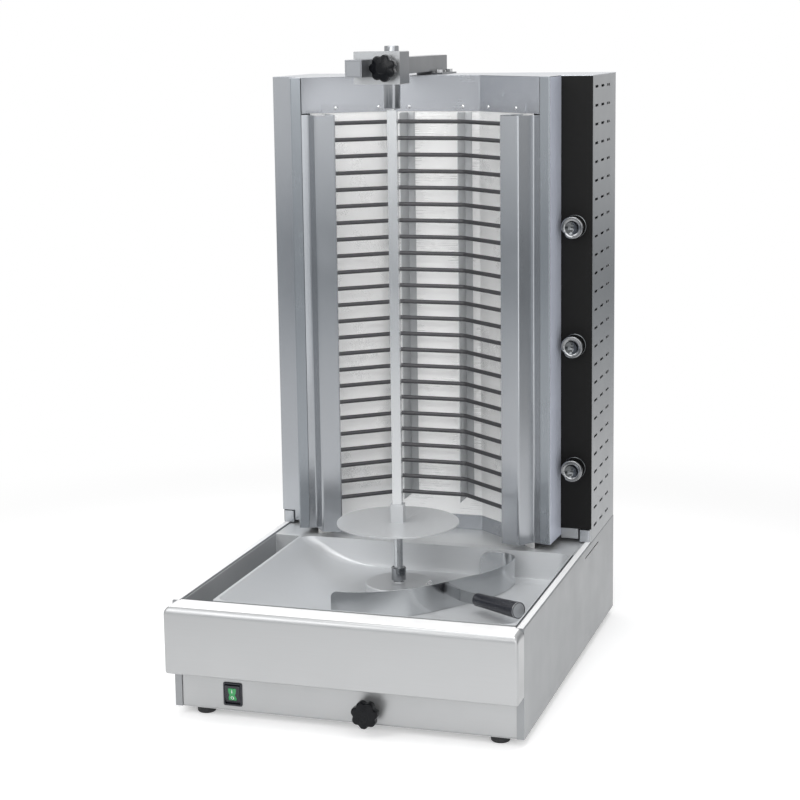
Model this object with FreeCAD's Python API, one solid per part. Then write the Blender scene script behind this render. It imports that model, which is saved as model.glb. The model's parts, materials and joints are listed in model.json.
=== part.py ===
import FreeCAD, Part

import math
import os

from FreeCAD import Vector

# Electric skewer grill. Millimetres, +Z up. The origin is on the floor under the middle of the whole
# grill: X runs along the width, -Y is the front and +Y the back.

# --- driving dimensions -------------------------------------------------------------------------
WIDTH = 530.0                 # over the side panels
DEPTH = 646.0                 # front plinth to back panel
SHEET = 1.2                   # stainless sheet
BEND = 1.5                    # inside bend radius of the sheet
FIT = 0.3                     # gap between loose parts
RUNNING = 0.05                # radial clearance of a turning or sliding fit
FOOT_HEIGHT = 12.5
FOOT_RADIUS = 14.0
FOOT_INSET = 40.0             # foot centre in from the sides
FOOT_SETBACK = 23.0           # foot centre in from the front and back
FOOT_TAPER = 1.5              # run and rise of the foot's chamfer
FOOT_TAPER_RISE = 2.0
BASE_HEIGHT = 162.5           # housing bottom to rim
RIM_WIDTH = 12.0
RIM_LIP = 12.0
FRONT_FLANGE = 11.0           # flange of each side panel beside the plinth
SLIT_LENGTH = 104.0           # cooling slit in each side panel
SLIT_HEIGHT = 3.0
SLIT_DROP = 13.0              # below the rim
SLIT_BACK = 181.0             # slit centre in from the back
FASCIA_OUT = 36.0             # how far the fascia stands out
FASCIA_HEIGHT = 102.0
FASCIA_TOP_RADIUS = 12.0
FASCIA_BOTTOM_RADIUS = 4.0
FASCIA_END_RADIUS = 5.0
PLINTH_RECESS = 2.0
WELL_FLOOR = 116.0            # top of the well's floor above the housing bottom
WELL_MARGIN = 8.0             # well's back wall in front of the burner back's edge
TRAY_LEFT = 49.0              # tray clear of the well's left side: it lies against the right
TRAY_RIGHT = 5.0
TRAY_FRONT = 14.0             # tray behind the plinth's face
TRAY_BACK = 2.0               # tray clear of the ledge's lip
TRAY_SLOPE = 34.0             # run of the tray's sloped left wall
TRAY_TAPER = 3.0              # run of its other walls
TRAY_RIM = 4.0
TRAY_RIM_SIDE = 2.0
TRAY_FLANGE = 19.0            # back flange that lies on the ledge
TRAY_CORNER = 22.0
TRAY_ROUND = 5.0              # inside radius between floor and walls
SILL_DROP = 17.0              # sill between hood and corner block, below the front flanges
SILL_LAP = 10.0
SILL_GAP = 2.0                # sill clear of the corner block
LEDGE_DROP = 2.5              # rear ledge below the rim
LEDGE_LIP = 24.0
TOWER_TOP = 909.0             # above the housing bottom
TOWER_DEPTH = 188.0
LOW_FLANGE_TOP = 21.5         # gap between rim and tower front flanges, over the corner blocks
CORNER_BLOCK = 17.0
CORNER_BLOCK_RADIUS = 2.0
CORNER_BLOCK_DROP = 2.0       # block top below the flanges
FLANGE_CLEARANCE = 1.0        # front flange of each tower side clear of the dial shafts
PANEL_THICKNESS = 2.0
PANEL_WIDTH = 50.0            # control panel, from the side of the tower to the burner hood
HOOD_OUT = 65.0               # how far the hood stands out of the tower front
HOOD_TAPER = 3.0              # the hood is this much narrower at its front edge
HOOD_LAP = 24.0               # hood's side wall behind the tower front
HOOD_FLANGE = 17.0
HOOD_FLANGE_BACK = 4.0
HOOD_LIFT = 12.0              # hood and wing bottoms above the ledge
BACK_SIDE = 122.0             # how far each slanted side of the burner back reaches across
BACK_DEPTH = 40.0             # its distance behind the tower front
BURNER_BEND = 6.0             # inside bend radius of the burner back
HEADER_HEIGHT = 56.0
STRIP_HEIGHT = 14.5
STRIP_MARGIN = 3.0            # strip ends beyond the wing's fold
SCREW_RADIUS = 3.0
SCREW_HEAD = 1.8
SCREW_CHAMFER = 0.8
SCREW_INSET = 28.0            # strip screws on the flat middle, in from its fold
SCREW_SHARES = (0.2, 0.8)     # strip screws along each slanted side
LIP_HEIGHT = 25.0
WING_STEP = 11.0              # wing valley in from the hood's inner edge
WING_SLOPE = 19.0             # wing fold in from the valley
WING_FACE = 30.0              # wing inner edge in from the fold
WING_STANDOFF = 12.94         # fold in front of the rods' ends
WING_TURN_BACK = 7.0          # inner edge behind the fold
WING_VALLEY_BACK = 9.0        # valley behind the hood's front
WING_FOLD_BEND = 4.0
WING_VALLEY_BEND = 3.0
WING_TOP_DROP = 59.0          # wing top below the lid
ROD_RADIUS = 3.3
ROD_HEAD = 14.0               # free height kept above the highest rod
COMB_END = 13.0               # rod supports beyond the lowest and highest rods
ROD_LOW = 229.0               # lowest rod above the housing bottom
ROD_PITCH = 26.44
ROD_BEND_STEP = 17.0          # rod bend in from the fold of the burner back
ROD_BEND_RADIUS = 16.0
ROD_STANDOFF = 40.0           # rods in front of the burner back
TERMINAL_COVER = 0.4          # terminal plate in front of the rods
TERMINAL_GAP = 1.0            # and clear of the header
ROD_COVER = 2.0               # rods reach this far behind the wing's inner edge
ZONES = 3
SUPPORT_STEP = 25.0           # support in from the fold of the burner back
SUPPORT_FOOT = 24.0
COMB_REACH = 4.0
SIDE_ROWS = 25
ROW_LOW = 185.0               # lowest slot row above the housing bottom
ROW_PITCH = 29.4
SLOT_LENGTH = 25.0
SLOT_HEIGHT = 4.0
SLOT_PITCH = 47.0
SLOT_FIRST = 33.0             # first slot centre behind the tower front
SLOTS_PER_ROW = 3
VENT_ROWS = 8
VENT_PITCH = 14.0
VENT_DROP = 120.0             # top vent below the lid
VENT_X = 90.0                 # middle of each column of vents
VENT_LENGTH = 110.0
VENT_HEIGHT = 4.0
SPIT_BACK = 265.0             # spit axis behind the plinth
SPIT_TURN = 8.0               # how the square bar stands at rest, degrees
SPIT_SIDE = 14.5
SPIT_ROD_RADIUS = 7.0
DISC_RADIUS = 95.0
DISC_THICKNESS = 2.5
DISC_HEIGHT = 230.0           # disc top above the housing bottom
HUB_SIDE = 21.0
HUB_HEIGHT = 28.0
HUB_CORNER = 2.0
JOURNAL_RADIUS = 6.0
JOURNAL_LENGTH = 30.0
JOURNAL_ROOM = 4.0            # bushing's bore above the journal
SOCKET_RADIUS = 11.25
SOCKET_HEIGHT = 20.0
SOCKET_LIFT = 4.0             # socket above the slot cover
SOCKET_FLOOR = 4.0
SOCKET_CHAMFER = 1.0
SOCKET_SLOT = 3.0             # width of the two crossed slots
SOCKET_SLOT_DEPTH = 9.0
COVER_RADIUS = 52.0
COVER_HEIGHT = 15.8
COVER_CHAMFER = 1.3
COVER_SCREW = 2.4             # radius of the two small screws in the cover
COVER_SCREW_HEAD = 1.2
COVER_SCREW_INSET = 5.0       # in from the cover's rim
COVER_SCREW_FIRST = 1.5       # first screw behind the spit axis
SCREW_SPACING = 11.0          # between the two screws of the cover
TRAVEL = 20.0                 # spit travel each way
NECK_RADIUS = 10.5
NECK_STEP = 1.2               # shoulder on which the slot cover sits
NECK_OUT = 1.5                # neck end above the slot cover
PLATE_HALF = 75.0
PLATE_LENGTH = 120.0
PLATE_THICKNESS = 4.0
RAIL_WIDTH = 14.0
RAIL_DEPTH = 16.0
GEARBOX_SIDE = 84.0
GEARBOX_HEIGHT = 38.0
GEARBOX_CORNER = 8.0
GEARBOX_FLOOR = 8.0           # under the drive shaft
MOTOR_RADIUS = 32.0
MOTOR_HEIGHT = 46.0
MOTOR_CHAMFER = 3.0
LOCK_X = 36.0                 # lower clamp knob
LOCK_HEIGHT = 21.0            # above the housing bottom
PLUG_RADIUS = 9.0
PLUG_LENGTH = 95.0
PLUG_FLANGE = 3.0             # thickness of the plug's flange, and its rim outside the plug
PLUG_FLANGE_RIM = 5.0
PLUG_SPLIT = 1.2
STUD_SHARE = 0.6              # how far the knob's stud reaches into the plug
DRAWBAR_CLEARANCE = 7.0       # drawbar clear of the plug's flange at full travel
DRAWBAR_WALL = 2.5
STUD_RADIUS = 4.0
KNOB_RADIUS = 20.5
KNOB_LOBES = 7
KNOB_THICKNESS = 16.0
KNOB_ROOT = 3.0               # depth of the valleys between the lobes
KNOB_LOBE_SHARE = 0.27        # lobe radius as a share of the knob's
KNOB_DOME = 4.0               # run and rise of the rounded front edge
KNOB_HUB_RADIUS = 8.0
KNOB_HUB_LENGTH = 11.0
SWITCH_INSET = 91.0           # switch centre in from the left side
SWITCH_HEIGHT = 25.0          # above the housing bottom
SWITCH_WIDTH = 29.5
SWITCH_TALL = 35.5
SWITCH_FRAME = 2.6
SWITCH_OUT = 2.5
SWITCH_BODY = 22.0
SWITCH_WALL = 3.0             # back wall of the switch body
ROCKER_TILT = 8.0
ROCKER_RADIUS = 13.9
DIAL_HEIGHTS = (285.0, 485.0, 674.0)
DIAL_OFFSET = 2.0             # dials in from the middle of the panel
DIAL_RADIUS = 18.0
DIAL_LENGTH = 28.0
DIAL_SKIRT = 3.0              # length of the full-width foot
DIAL_STEP = 1.5               # grip in from the foot
DIAL_ROUND = 1.5
DIAL_RIM = 2.0
DIAL_DISH = 3.0
DIAL_SHAFT = 3.0
REGULATOR_HEIGHT = 40.0
REGULATOR_DEPTH = 30.0
REGULATOR_CLEARANCE = 3.0     # beside the hood and the tower side
BAR_SIDE = 26.0
BAR_WALL = 2.0
BAR_X = -36.0
BAR_FRONT = 73.0              # bar end in front of the spit axis
BAR_LIFT = 4.5                # bar above the lid
BLOCK_LEFT = 52.0
BLOCK_RIGHT = 20.0
BLOCK_HEIGHT = 48.5
BLOCK_DEPTH = 47.0
BUSHING_RADIUS = 12.5
BUSHING_HEAD_RADIUS = 11.0
BUSHING_TOP = 8.0             # above the block
BUSHING_CHAMFER = 1.0
BUSHING_NECK = 2.0            # length of the taper to the head
BUSHING_REACH = 36.5          # below the block
FOOT_PLATE_LENGTH = 86.0
FOOT_PLATE_WIDTH = 44.0
FOOT_PLATE_THICKNESS = 2.5
FOOT_PLATE_SETBACK = 6.0      # in from the lid's back edge
PAD_LENGTH = 18.0
PAD_INSET = 4.0
BOLT_ACROSS = 10.0
BOLT_HEAD = 5.0
BOLT_INSET = 13.0
BOLT_GAP = 9.0                # bolt centre beside the tube
CAP_DEPTH = 4.0
BLOCK_CHAMFER = 1.0
SCOOP_HEIGHT = 42.5
SCOOP_CORNER = 9.0            # radius of the wall's front top corner
SCOOP_END_CORNER = 18.0       # and of its far top corner
# wall corners: X in from the well's right side, Y from the spit axis
SCOOP_CORNERS = ((309, -160), (218, -152), (88, 25), (87, 110), (151, 110))
SCOOP_BENDS = (186.0, 160.0, 27.0)
SCOOP_MARGIN = 8.0            # scoop floor clear of the travelling slot cover
HANDLE_PLACE = 0.6            # share of the scoop's straight side at which the handle sits
HANDLE_TILT = 4.0
HANDLE_RISE = 3.5             # grip's underside above the scoop's floor at the wall
HANDLE_ROUND = 2.0
TANG_LENGTH = 40.0
TANG_WIDTH = 18.0
TANG_THICKNESS = 2.5
HANDLE_RADIUS = 12.5
HANDLE_LENGTH = 98.0
GLAND_INSET = 75.0            # gland centre in from the right side
GLAND_HEIGHT = 60.0
GLAND_BORE = 5.0
GLAND_WALL = 3.0
GLAND_FLANGE = 4.0            # rim and thickness of the gland's flange
GLAND_FLANGE_DEPTH = 5.0
GLAND_STEP = 1.0
GLAND_OUT = 14.0              # how far the gland stands out of the back

# --- derived positions --------------------------------------------------------------------------
HALF = WIDTH / 2
FRONT = FASCIA_OUT - (FASCIA_OUT + DEPTH + GLAND_OUT) / 2
BACK = FRONT + DEPTH
BOTTOM = FOOT_HEIGHT
RIM = BOTTOM + BASE_HEIGHT
INNER = HALF - RIM_WIDTH
FASCIA_FRONT = FRONT - FASCIA_OUT
FASCIA_LOW = RIM - FASCIA_HEIGHT
PLINTH_Y = FRONT + PLINTH_RECESS
FLOOR = BOTTOM + WELL_FLOOR
TRAY_FLOOR = FLOOR + SHEET
LEDGE = RIM - LEDGE_DROP
TOP = BOTTOM + TOWER_TOP
LID_UNDER = TOP - SHEET
TOWER_Y = BACK - TOWER_DEPTH
HOOD_Y = TOWER_Y - HOOD_OUT
HOOD_LOW = LEDGE + HOOD_LIFT
BACK_Y = TOWER_Y + BACK_DEPTH
HOOD_HALF = HALF - PANEL_WIDTH
EDGE_X = HOOD_HALF - HOOD_TAPER - HOOD_FLANGE
EDGE_Y = HOOD_Y + HOOD_FLANGE_BACK
BACK_HALF = EDGE_X - BACK_SIDE
SLANT = math.atan2(BACK_Y - EDGE_Y, BACK_SIDE)
WELL_BACK = EDGE_Y - WELL_MARGIN
FLANGE_LOW = RIM + LOW_FLANGE_TOP
HEADER_LOW = LID_UNDER - HEADER_HEIGHT
WING_VALLEY = EDGE_X - WING_STEP
WING_FOLD = WING_VALLEY - WING_SLOPE
WING_INNER = WING_FOLD - WING_FACE
STRIP_HALF = WING_FOLD + STRIP_MARGIN
SUPPORT_HALF = BACK_HALF - SUPPORT_STEP
ROD_END = WING_INNER + ROD_COVER
ROD_ROOM = HEADER_LOW - ROD_HEAD - BOTTOM - ROD_LOW
ZONE_RODS = (int(ROD_ROOM / ROD_PITCH) + 1) // ZONES
ROD_Y = BACK_Y - ROD_STANDOFF
ROD_BEND_HALF = BACK_HALF - ROD_BEND_STEP
ROD_END_Y = ROD_Y - (ROD_END - ROD_BEND_HALF) * math.tan(SLANT)
SPIT_Y = FRONT + SPIT_BACK
DISC_TOP = BOTTOM + DISC_HEIGHT
COVER_TOP = TRAY_FLOOR + COVER_HEIGHT
SOCKET_LOW = COVER_TOP + SOCKET_LIFT
PLATE_TOP = FLOOR - SHEET - RAIL_DEPTH / 2 + PLATE_THICKNESS / 2
GEARBOX_LOW = PLATE_TOP - PLATE_THICKNESS - GEARBOX_HEIGHT
LOCK_Z = BOTTOM + LOCK_HEIGHT
SWITCH_X = -HALF + SWITCH_INSET
DIAL_X = (HOOD_HALF + HALF) / 2 - DIAL_OFFSET
SIDE_FLANGE = HALF - DIAL_X - DIAL_SHAFT - FLANGE_CLEARANCE
GLAND_X = HALF - GLAND_INSET
BAR_LOW = TOP + BAR_LIFT
BAR_Z = BAR_LOW + BAR_SIDE / 2
BLOCK_LOW = BAR_Z - BLOCK_HEIGHT / 2
BLOCK_TOP = BAR_Z + BLOCK_HEIGHT / 2
BLOCK_FRONT = SPIT_Y - BLOCK_DEPTH / 2
BUSHING_LOW = BLOCK_LOW - BUSHING_REACH
SCOOP_LOW = TRAY_FLOOR + FIT
SCOOP_TOP = SCOOP_LOW + SCOOP_HEIGHT


# --- helpers ------------------------------------------------------------------------------------
def box(x0, x1, y0, y1, z0, z1):
    """Box between two corners."""
    return Part.makeBox(x1 - x0, y1 - y0, z1 - z0, Vector(x0, y0, z0))


def rod(radius, start, end):
    """Cylinder from one point to another."""
    axis = Vector(*end) - Vector(*start)
    return Part.makeCylinder(radius, axis.Length, Vector(*start), axis)


def mirrored(shape):
    """The same piece on the other side of the middle plane."""
    return shape.mirror(Vector(0, 0, 0), Vector(1, 0, 0))


def fuse(first, *others):
    """One solid from touching or overlapping pieces."""
    return first.fuse(list(others)).removeSplitter()


def outline(points, radii):
    """Closed wire in the XY plane whose corners are rounded by the given radii."""
    count = len(points)
    corners = []
    for i in range(count):
        here = Vector(*points[i], 0)
        before = (Vector(*points[i - 1], 0) - here).normalize()
        after = (Vector(*points[(i + 1) % count], 0) - here).normalize()
        angle = before.getAngle(after)
        if radii[i] <= 0 or angle > math.pi - 0.01:
            corners.append((here, None, here))
            continue
        reach = radii[i] / math.tan(angle / 2)
        middle = (before + after).normalize()
        centre = here + middle * (radii[i] / math.sin(angle / 2))
        corners.append((here + before * reach, centre - middle * radii[i], here + after * reach))
    edges = []
    for i in range(count):
        start, middle, end = corners[i]
        if middle is not None:
            edges.append(Part.Arc(start, middle, end).toShape())
        following = corners[(i + 1) % count][0]
        if end.distanceToPoint(following) > 1e-6:
            edges.append(Part.makeLine(end, following))
    return Part.Wire(edges)


def prism(wire, low, high):
    """Upright prism over a wire drawn in the XY plane."""
    face = Part.Face(wire)
    face.translate(Vector(0, 0, low))
    return face.extrude(Vector(0, 0, high - low))


def strip_points(path, thickness):
    """The path and its copy one sheet thickness to the left, as one closed loop."""
    offset = []
    count = len(path)
    for i in range(count):
        normals = []
        for a, b in ((i - 1, i), (i, i + 1)):
            if a < 0 or b >= count:
                continue
            run = (Vector(*path[b], 0) - Vector(*path[a], 0)).normalize()
            normals.append(Vector(-run.y, run.x, 0))
        total = normals[0] if len(normals) == 1 else (normals[0] + normals[1]).normalize()
        reach = thickness / total.dot(normals[0])
        offset.append((path[i][0] + total.x * reach, path[i][1] + total.y * reach))
    return list(path) + offset[::-1]


def bent_sheet(path, low, high, bends=None, thickness=SHEET):
    """Folded sheet on edge: the path is its right-hand face, each inner point has a bend."""
    count = len(path)
    bends = bends or [BEND] * (count - 2)
    right = [0.0] * count
    left = [0.0] * count
    for i in range(1, count - 1):
        a = Vector(*path[i], 0) - Vector(*path[i - 1], 0)
        b = Vector(*path[i + 1], 0) - Vector(*path[i], 0)
        turns_left = a.cross(b).z > 0
        right[i] = bends[i - 1] + (thickness if turns_left else 0)
        left[i] = bends[i - 1] + (0 if turns_left else thickness)
    return prism(outline(strip_points(path, thickness), right + left[::-1]), low, high)


def along_y(shape):
    """Stands a prism drawn in (x, z) and extruded along +Z so that it runs along +Y."""
    turned_shape = shape.copy()
    turned_shape.rotate(Vector(0, 0, 0), Vector(1, 0, 0), 90)
    return turned_shape.mirror(Vector(0, 0, 0), Vector(0, 1, 0))


def along_x(shape):
    """Stands a prism drawn in (y, z) and extruded along +Z so that it runs along +X."""
    turned_shape = shape.copy()
    turned_shape.rotate(Vector(0, 0, 0), Vector(1, 1, 1), 120)
    return turned_shape


def rounded_box(x0, x1, y0, y1, low, high, radius):
    """Upright box with rounded vertical corners."""
    return prism(outline([(x0, y0), (x1, y0), (x1, y1), (x0, y1)], [radius] * 4), low, high)


def turned(profile, x, y):
    """Solid of revolution about the vertical line at x, y from (radius, height) points."""
    wire = Part.makePolygon([Vector(r, 0, z) for r, z in profile + [profile[0]]])
    solid = Part.Face(wire).revolve(Vector(0, 0, 0), Vector(0, 0, 1), 360)
    solid.translate(Vector(x, y, 0))
    return solid


def facing_front(profile, x, y, z):
    """Solid of revolution about a line along -Y from (radius, distance in front of y) points."""
    solid = turned(profile, 0, 0)
    solid.rotate(Vector(0, 0, 0), Vector(1, 0, 0), 90)
    solid.translate(Vector(x, y, z))
    return solid


def export(name, *shapes):
    """Writes one node: a single solid, or a group of separate ones."""
    solids = []
    for shape in shapes:
        solids.extend(shape.Solids)
    node = solids[0] if len(solids) == 1 else Part.makeCompound(solids)
    node.exportStep("parts/" + name + ".step")


def pair(name, right):
    """Writes a right-hand piece and its mirrored left-hand one."""
    export(name + "_right", right)
    export(name + "_left", mirrored(right))


# --- base ---------------------------------------------------------------------------------------
def side_panel():
    """Right side panel of the base: wall, rim with a lip, front flange, cooling slit."""
    path = [(HALF, BOTTOM), (HALF, RIM), (INNER, RIM), (INNER, RIM - RIM_LIP)]
    wall = along_y(bent_sheet(path, FRONT, BACK))
    flange = box(HALF - FRONT_FLANGE, HALF - SHEET / 2, FRONT, FRONT + SHEET, BOTTOM, RIM - SHEET / 2)
    slit_y = BACK - SLIT_BACK
    slit_z = RIM - SLIT_DROP
    slit = box(HALF - 2 * SHEET, HALF + SHEET, slit_y - SLIT_LENGTH / 2, slit_y + SLIT_LENGTH / 2,
               slit_z - SLIT_HEIGHT, slit_z)
    return fuse(wall, flange).cut(slit)


def fascia_block(inset):
    """Rounded block of the fascia, drawn in by the inset on all sides but the back."""
    back = FRONT + inset
    solid = box(-HALF + inset, HALF - inset, FASCIA_FRONT + inset, back, FASCIA_LOW + inset, RIM - inset)
    ends = []
    top = []
    low = []
    for edge in solid.Edges:
        middle = edge.CenterOfMass
        if abs(middle.y - FASCIA_FRONT - inset) > 0.01:
            continue
        if abs(abs(middle.x) - HALF + inset) < 0.01:
            ends.append(edge)
        elif middle.z > (FASCIA_LOW + RIM) / 2:
            top.append(edge)
        else:
            low.append(edge)
    solid = solid.makeFillet(FASCIA_END_RADIUS - inset, ends)
    for radius, height in ((FASCIA_TOP_RADIUS, RIM - inset), (FASCIA_BOTTOM_RADIUS, FASCIA_LOW + inset)):
        along = [edge for edge in solid.Edges
                 if abs(edge.CenterOfMass.z - height) < 0.01
                 and abs(edge.CenterOfMass.y - FASCIA_FRONT - inset) < 0.01]
        solid = solid.makeFillet(radius - inset, along)
    return solid


def front_fascia():
    """Folded front with a rounded top edge, open at the back, whose top reaches over the plinth."""
    shell = fascia_block(0.0).cut(fascia_block(SHEET))
    over = PLINTH_Y + SHEET + FIT + SHEET
    top = box(-INNER + FIT, INNER - FIT, FRONT - SHEET, over, RIM - SHEET, RIM)
    lip = box(-INNER + FIT, INNER - FIT, over - SHEET, over, RIM - RIM_LIP, RIM)
    return fuse(shell, top, lip)


def plinth():
    """Recessed front plate with the switch cut-out and the clamp's hole."""
    reach = HALF - SHEET - BEND
    plate = box(-reach, reach, PLINTH_Y, PLINTH_Y + SHEET, BOTTOM + SHEET, RIM - RIM_LIP - SHEET)
    half_width = SWITCH_WIDTH / 2 - SWITCH_FRAME / 2
    half_tall = SWITCH_TALL / 2 - SWITCH_FRAME / 2
    switch_z = BOTTOM + SWITCH_HEIGHT
    cutout = box(SWITCH_X - half_width, SWITCH_X + half_width, PLINTH_Y - 1, PLINTH_Y + SHEET + 1,
                 switch_z - half_tall, switch_z + half_tall)
    stud_hole = rod(STUD_RADIUS + FIT, (LOCK_X, PLINTH_Y - 1, LOCK_Z), (LOCK_X, PLINTH_Y + SHEET + 1, LOCK_Z))
    return plate.cut(cutout).cut(stud_hole)


def slot_opening(half_width, low, high):
    """Long hole in the floors in which the bearing neck travels."""
    reach = TRAVEL + half_width
    return rounded_box(-half_width, half_width, SPIT_Y - reach, SPIT_Y + reach, low, high, half_width - 0.01)


def well():
    """Sunk deck of the base: floor and four walls under the rim."""
    front = PLINTH_Y + 2 * SHEET + FIT
    outer = rounded_box(-INNER, INNER, front, WELL_BACK, FLOOR - SHEET, LEDGE, BEND + SHEET)
    inner = rounded_box(-INNER + SHEET, INNER - SHEET, front + SHEET, WELL_BACK - SHEET,
                        FLOOR, RIM, BEND)
    return outer.cut(inner).cut(slot_opening(NECK_RADIUS + FIT, FLOOR - 2 * SHEET, FLOOR + SHEET))


def tray_form(inset, low, round_radius):
    """Tapered pan: a rounded rectangle at the floor drawn out to the wider one at the rim."""
    x0 = -INNER + TRAY_LEFT + inset
    x1 = INNER - TRAY_RIGHT - inset
    y0 = PLINTH_Y + TRAY_FRONT + inset
    y1 = WELL_BACK - TRAY_BACK - inset
    wires = []
    for z, slope, taper in ((low, TRAY_SLOPE, TRAY_TAPER), (LEDGE + SHEET, 0.0, 0.0)):
        corners = [(x0 + slope, y0 + taper), (x1 - taper, y0 + taper),
                   (x1 - taper, y1 - taper), (x0 + slope, y1 - taper)]
        wire = outline(corners, [TRAY_CORNER - inset] * 4)
        wire.translate(Vector(0, 0, z))
        wires.append(wire)
    form = Part.makeLoft(wires, True, True)
    foot = [edge for edge in form.Edges if edge.BoundBox.ZMax < low + FIT]
    return form.makeFillet(round_radius, foot)


def drip_tray():
    """Loose fat tray: tapered pan with a turned-out rim whose back flange lies on the ledge."""
    top = LEDGE + SHEET
    x0 = -INNER + TRAY_LEFT
    x1 = INNER - TRAY_RIGHT
    y0 = PLINTH_Y + TRAY_FRONT
    y1 = WELL_BACK - TRAY_BACK
    pan = tray_form(0.0, FLOOR, TRAY_ROUND + SHEET)
    rim = rounded_box(x0 - TRAY_RIM, x1 + TRAY_RIM_SIDE, y0 - TRAY_RIM_SIDE, y1 + TRAY_FLANGE,
                      LEDGE, top, TRAY_RIM)
    hollow = tray_form(SHEET, TRAY_FLOOR, TRAY_ROUND)
    opening = slot_opening(NECK_RADIUS + FIT, FLOOR - SHEET, TRAY_FLOOR + SHEET)
    return fuse(pan, rim).cut(hollow).cut(opening)


def rear_ledge():
    """Deck behind the well that carries the tower, with a lip down the well's back wall."""
    path = [(WELL_BACK, LEDGE - LEDGE_LIP), (WELL_BACK, LEDGE), (BACK - SHEET, LEDGE)]
    sheet = bent_sheet([(-y, z) for y, z in path], -INNER, INNER)
    return along_x(sheet).mirror(Vector(0, 0, 0), Vector(0, 1, 0))


def base_back():
    """Back panel of the base with the cable gland's hole."""
    plate = fuse(box(-HALF + SHEET, HALF - SHEET, BACK - SHEET, BACK, BOTTOM + SHEET, RIM - RIM_LIP),
                 box(-INNER, INNER, BACK - SHEET, BACK, RIM - RIM_LIP, LEDGE))
    z = BOTTOM + GLAND_HEIGHT
    hole = rod(GLAND_BORE + 3.0, (GLAND_X, BACK - 2 * SHEET, z), (GLAND_X, BACK + 1, z))
    return plate.cut(hole)


def cable_gland():
    """Flanged gland through the back panel, with the bore for the lead."""
    body = GLAND_BORE + GLAND_WALL
    rim = body + GLAND_FLANGE
    nose = body + GLAND_STEP
    steps = [(GLAND_BORE, -GLAND_OUT), (body, -GLAND_OUT), (body, 0), (rim, 0), (rim, GLAND_FLANGE_DEPTH),
             (nose, GLAND_FLANGE_DEPTH), (nose, GLAND_OUT), (GLAND_BORE, GLAND_OUT)]
    gland = facing_front(steps, 0, 0, 0)
    gland.rotate(Vector(0, 0, 0), Vector(0, 0, 1), 180)
    gland.translate(Vector(GLAND_X, BACK, BOTTOM + GLAND_HEIGHT))
    return gland


def feet():
    """Four tapered feet under the bottom plate."""
    x = HALF - FOOT_INSET
    profile = [(0, 0), (FOOT_RADIUS - FOOT_TAPER, 0), (FOOT_RADIUS, FOOT_TAPER_RISE),
               (FOOT_RADIUS, FOOT_HEIGHT), (0, FOOT_HEIGHT)]
    places = [(side * x, y) for side in (-1, 1) for y in (FRONT + FOOT_SETBACK, BACK - FOOT_SETBACK)]
    return [turned(profile, *place) for place in places]


def build_base():
    """All fixed pieces of the base."""
    pair("base_side", side_panel())
    export("front_fascia", front_fascia())
    export("plinth_front", plinth())
    export("deck_well", well())
    export("drip_tray", drip_tray())
    export("rear_ledge", rear_ledge())
    export("base_back", base_back())
    export("bottom_plate", box(-HALF + SHEET, HALF - SHEET, FRONT + SHEET, BACK - SHEET,
                               BOTTOM, BOTTOM + SHEET))
    export("cable_gland", cable_gland())
    export("feet", *feet())


# --- switch -------------------------------------------------------------------------------------
def switch_frame():
    """Rocker switch housing: a frame on the plinth and a box behind it, hollow for the rocker."""
    z = BOTTOM + SWITCH_HEIGHT
    x0 = SWITCH_X - SWITCH_WIDTH / 2
    x1 = SWITCH_X + SWITCH_WIDTH / 2
    frame = box(x0, x1, PLINTH_Y - SWITCH_OUT, PLINTH_Y, z - SWITCH_TALL / 2, z + SWITCH_TALL / 2)
    step = SWITCH_FRAME / 2
    body = box(x0 + step, x1 - step, PLINTH_Y, PLINTH_Y + SWITCH_BODY,
               z - SWITCH_TALL / 2 + step, z + SWITCH_TALL / 2 - step)
    half = ROCKER_RADIUS + FIT
    hollow = box(x0 + SWITCH_FRAME, x1 - SWITCH_FRAME, PLINTH_Y - SWITCH_OUT - 1,
                 PLINTH_Y + SWITCH_BODY - SWITCH_WALL, z - half, z + half)
    return fuse(frame, body).cut(hollow)


def rocker():
    """Rocker with a shallow V face; its back is round about the pivot, so it clears the frame."""
    z = BOTTOM + SWITCH_HEIGHT
    half_width = SWITCH_WIDTH / 2 - SWITCH_FRAME - FIT
    drum = rod(ROCKER_RADIUS, (SWITCH_X - half_width, 0, 0), (SWITCH_X + half_width, 0, 0))
    face = SWITCH_OUT + 1.0
    reach = 2 * SWITCH_WIDTH
    keep = []
    for tilt in (-ROCKER_TILT, ROCKER_TILT):
        half_space = box(SWITCH_X - reach, SWITCH_X + reach, -face, ROCKER_RADIUS * 0.6, -reach, reach)
        half_space.rotate(Vector(0, -face, 0), Vector(1, 0, 0), tilt)
        keep.append(half_space)
    button = drum.common(keep[0]).common(keep[1])
    button.rotate(Vector(0, 0, 0), Vector(1, 0, 0), ROCKER_TILT)
    button.translate(Vector(0, PLINTH_Y, z))
    return button


def build_switch():
    """The mains switch on the plinth."""
    export("switch_frame", switch_frame())
    export("switch_rocker", rocker())


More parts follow.
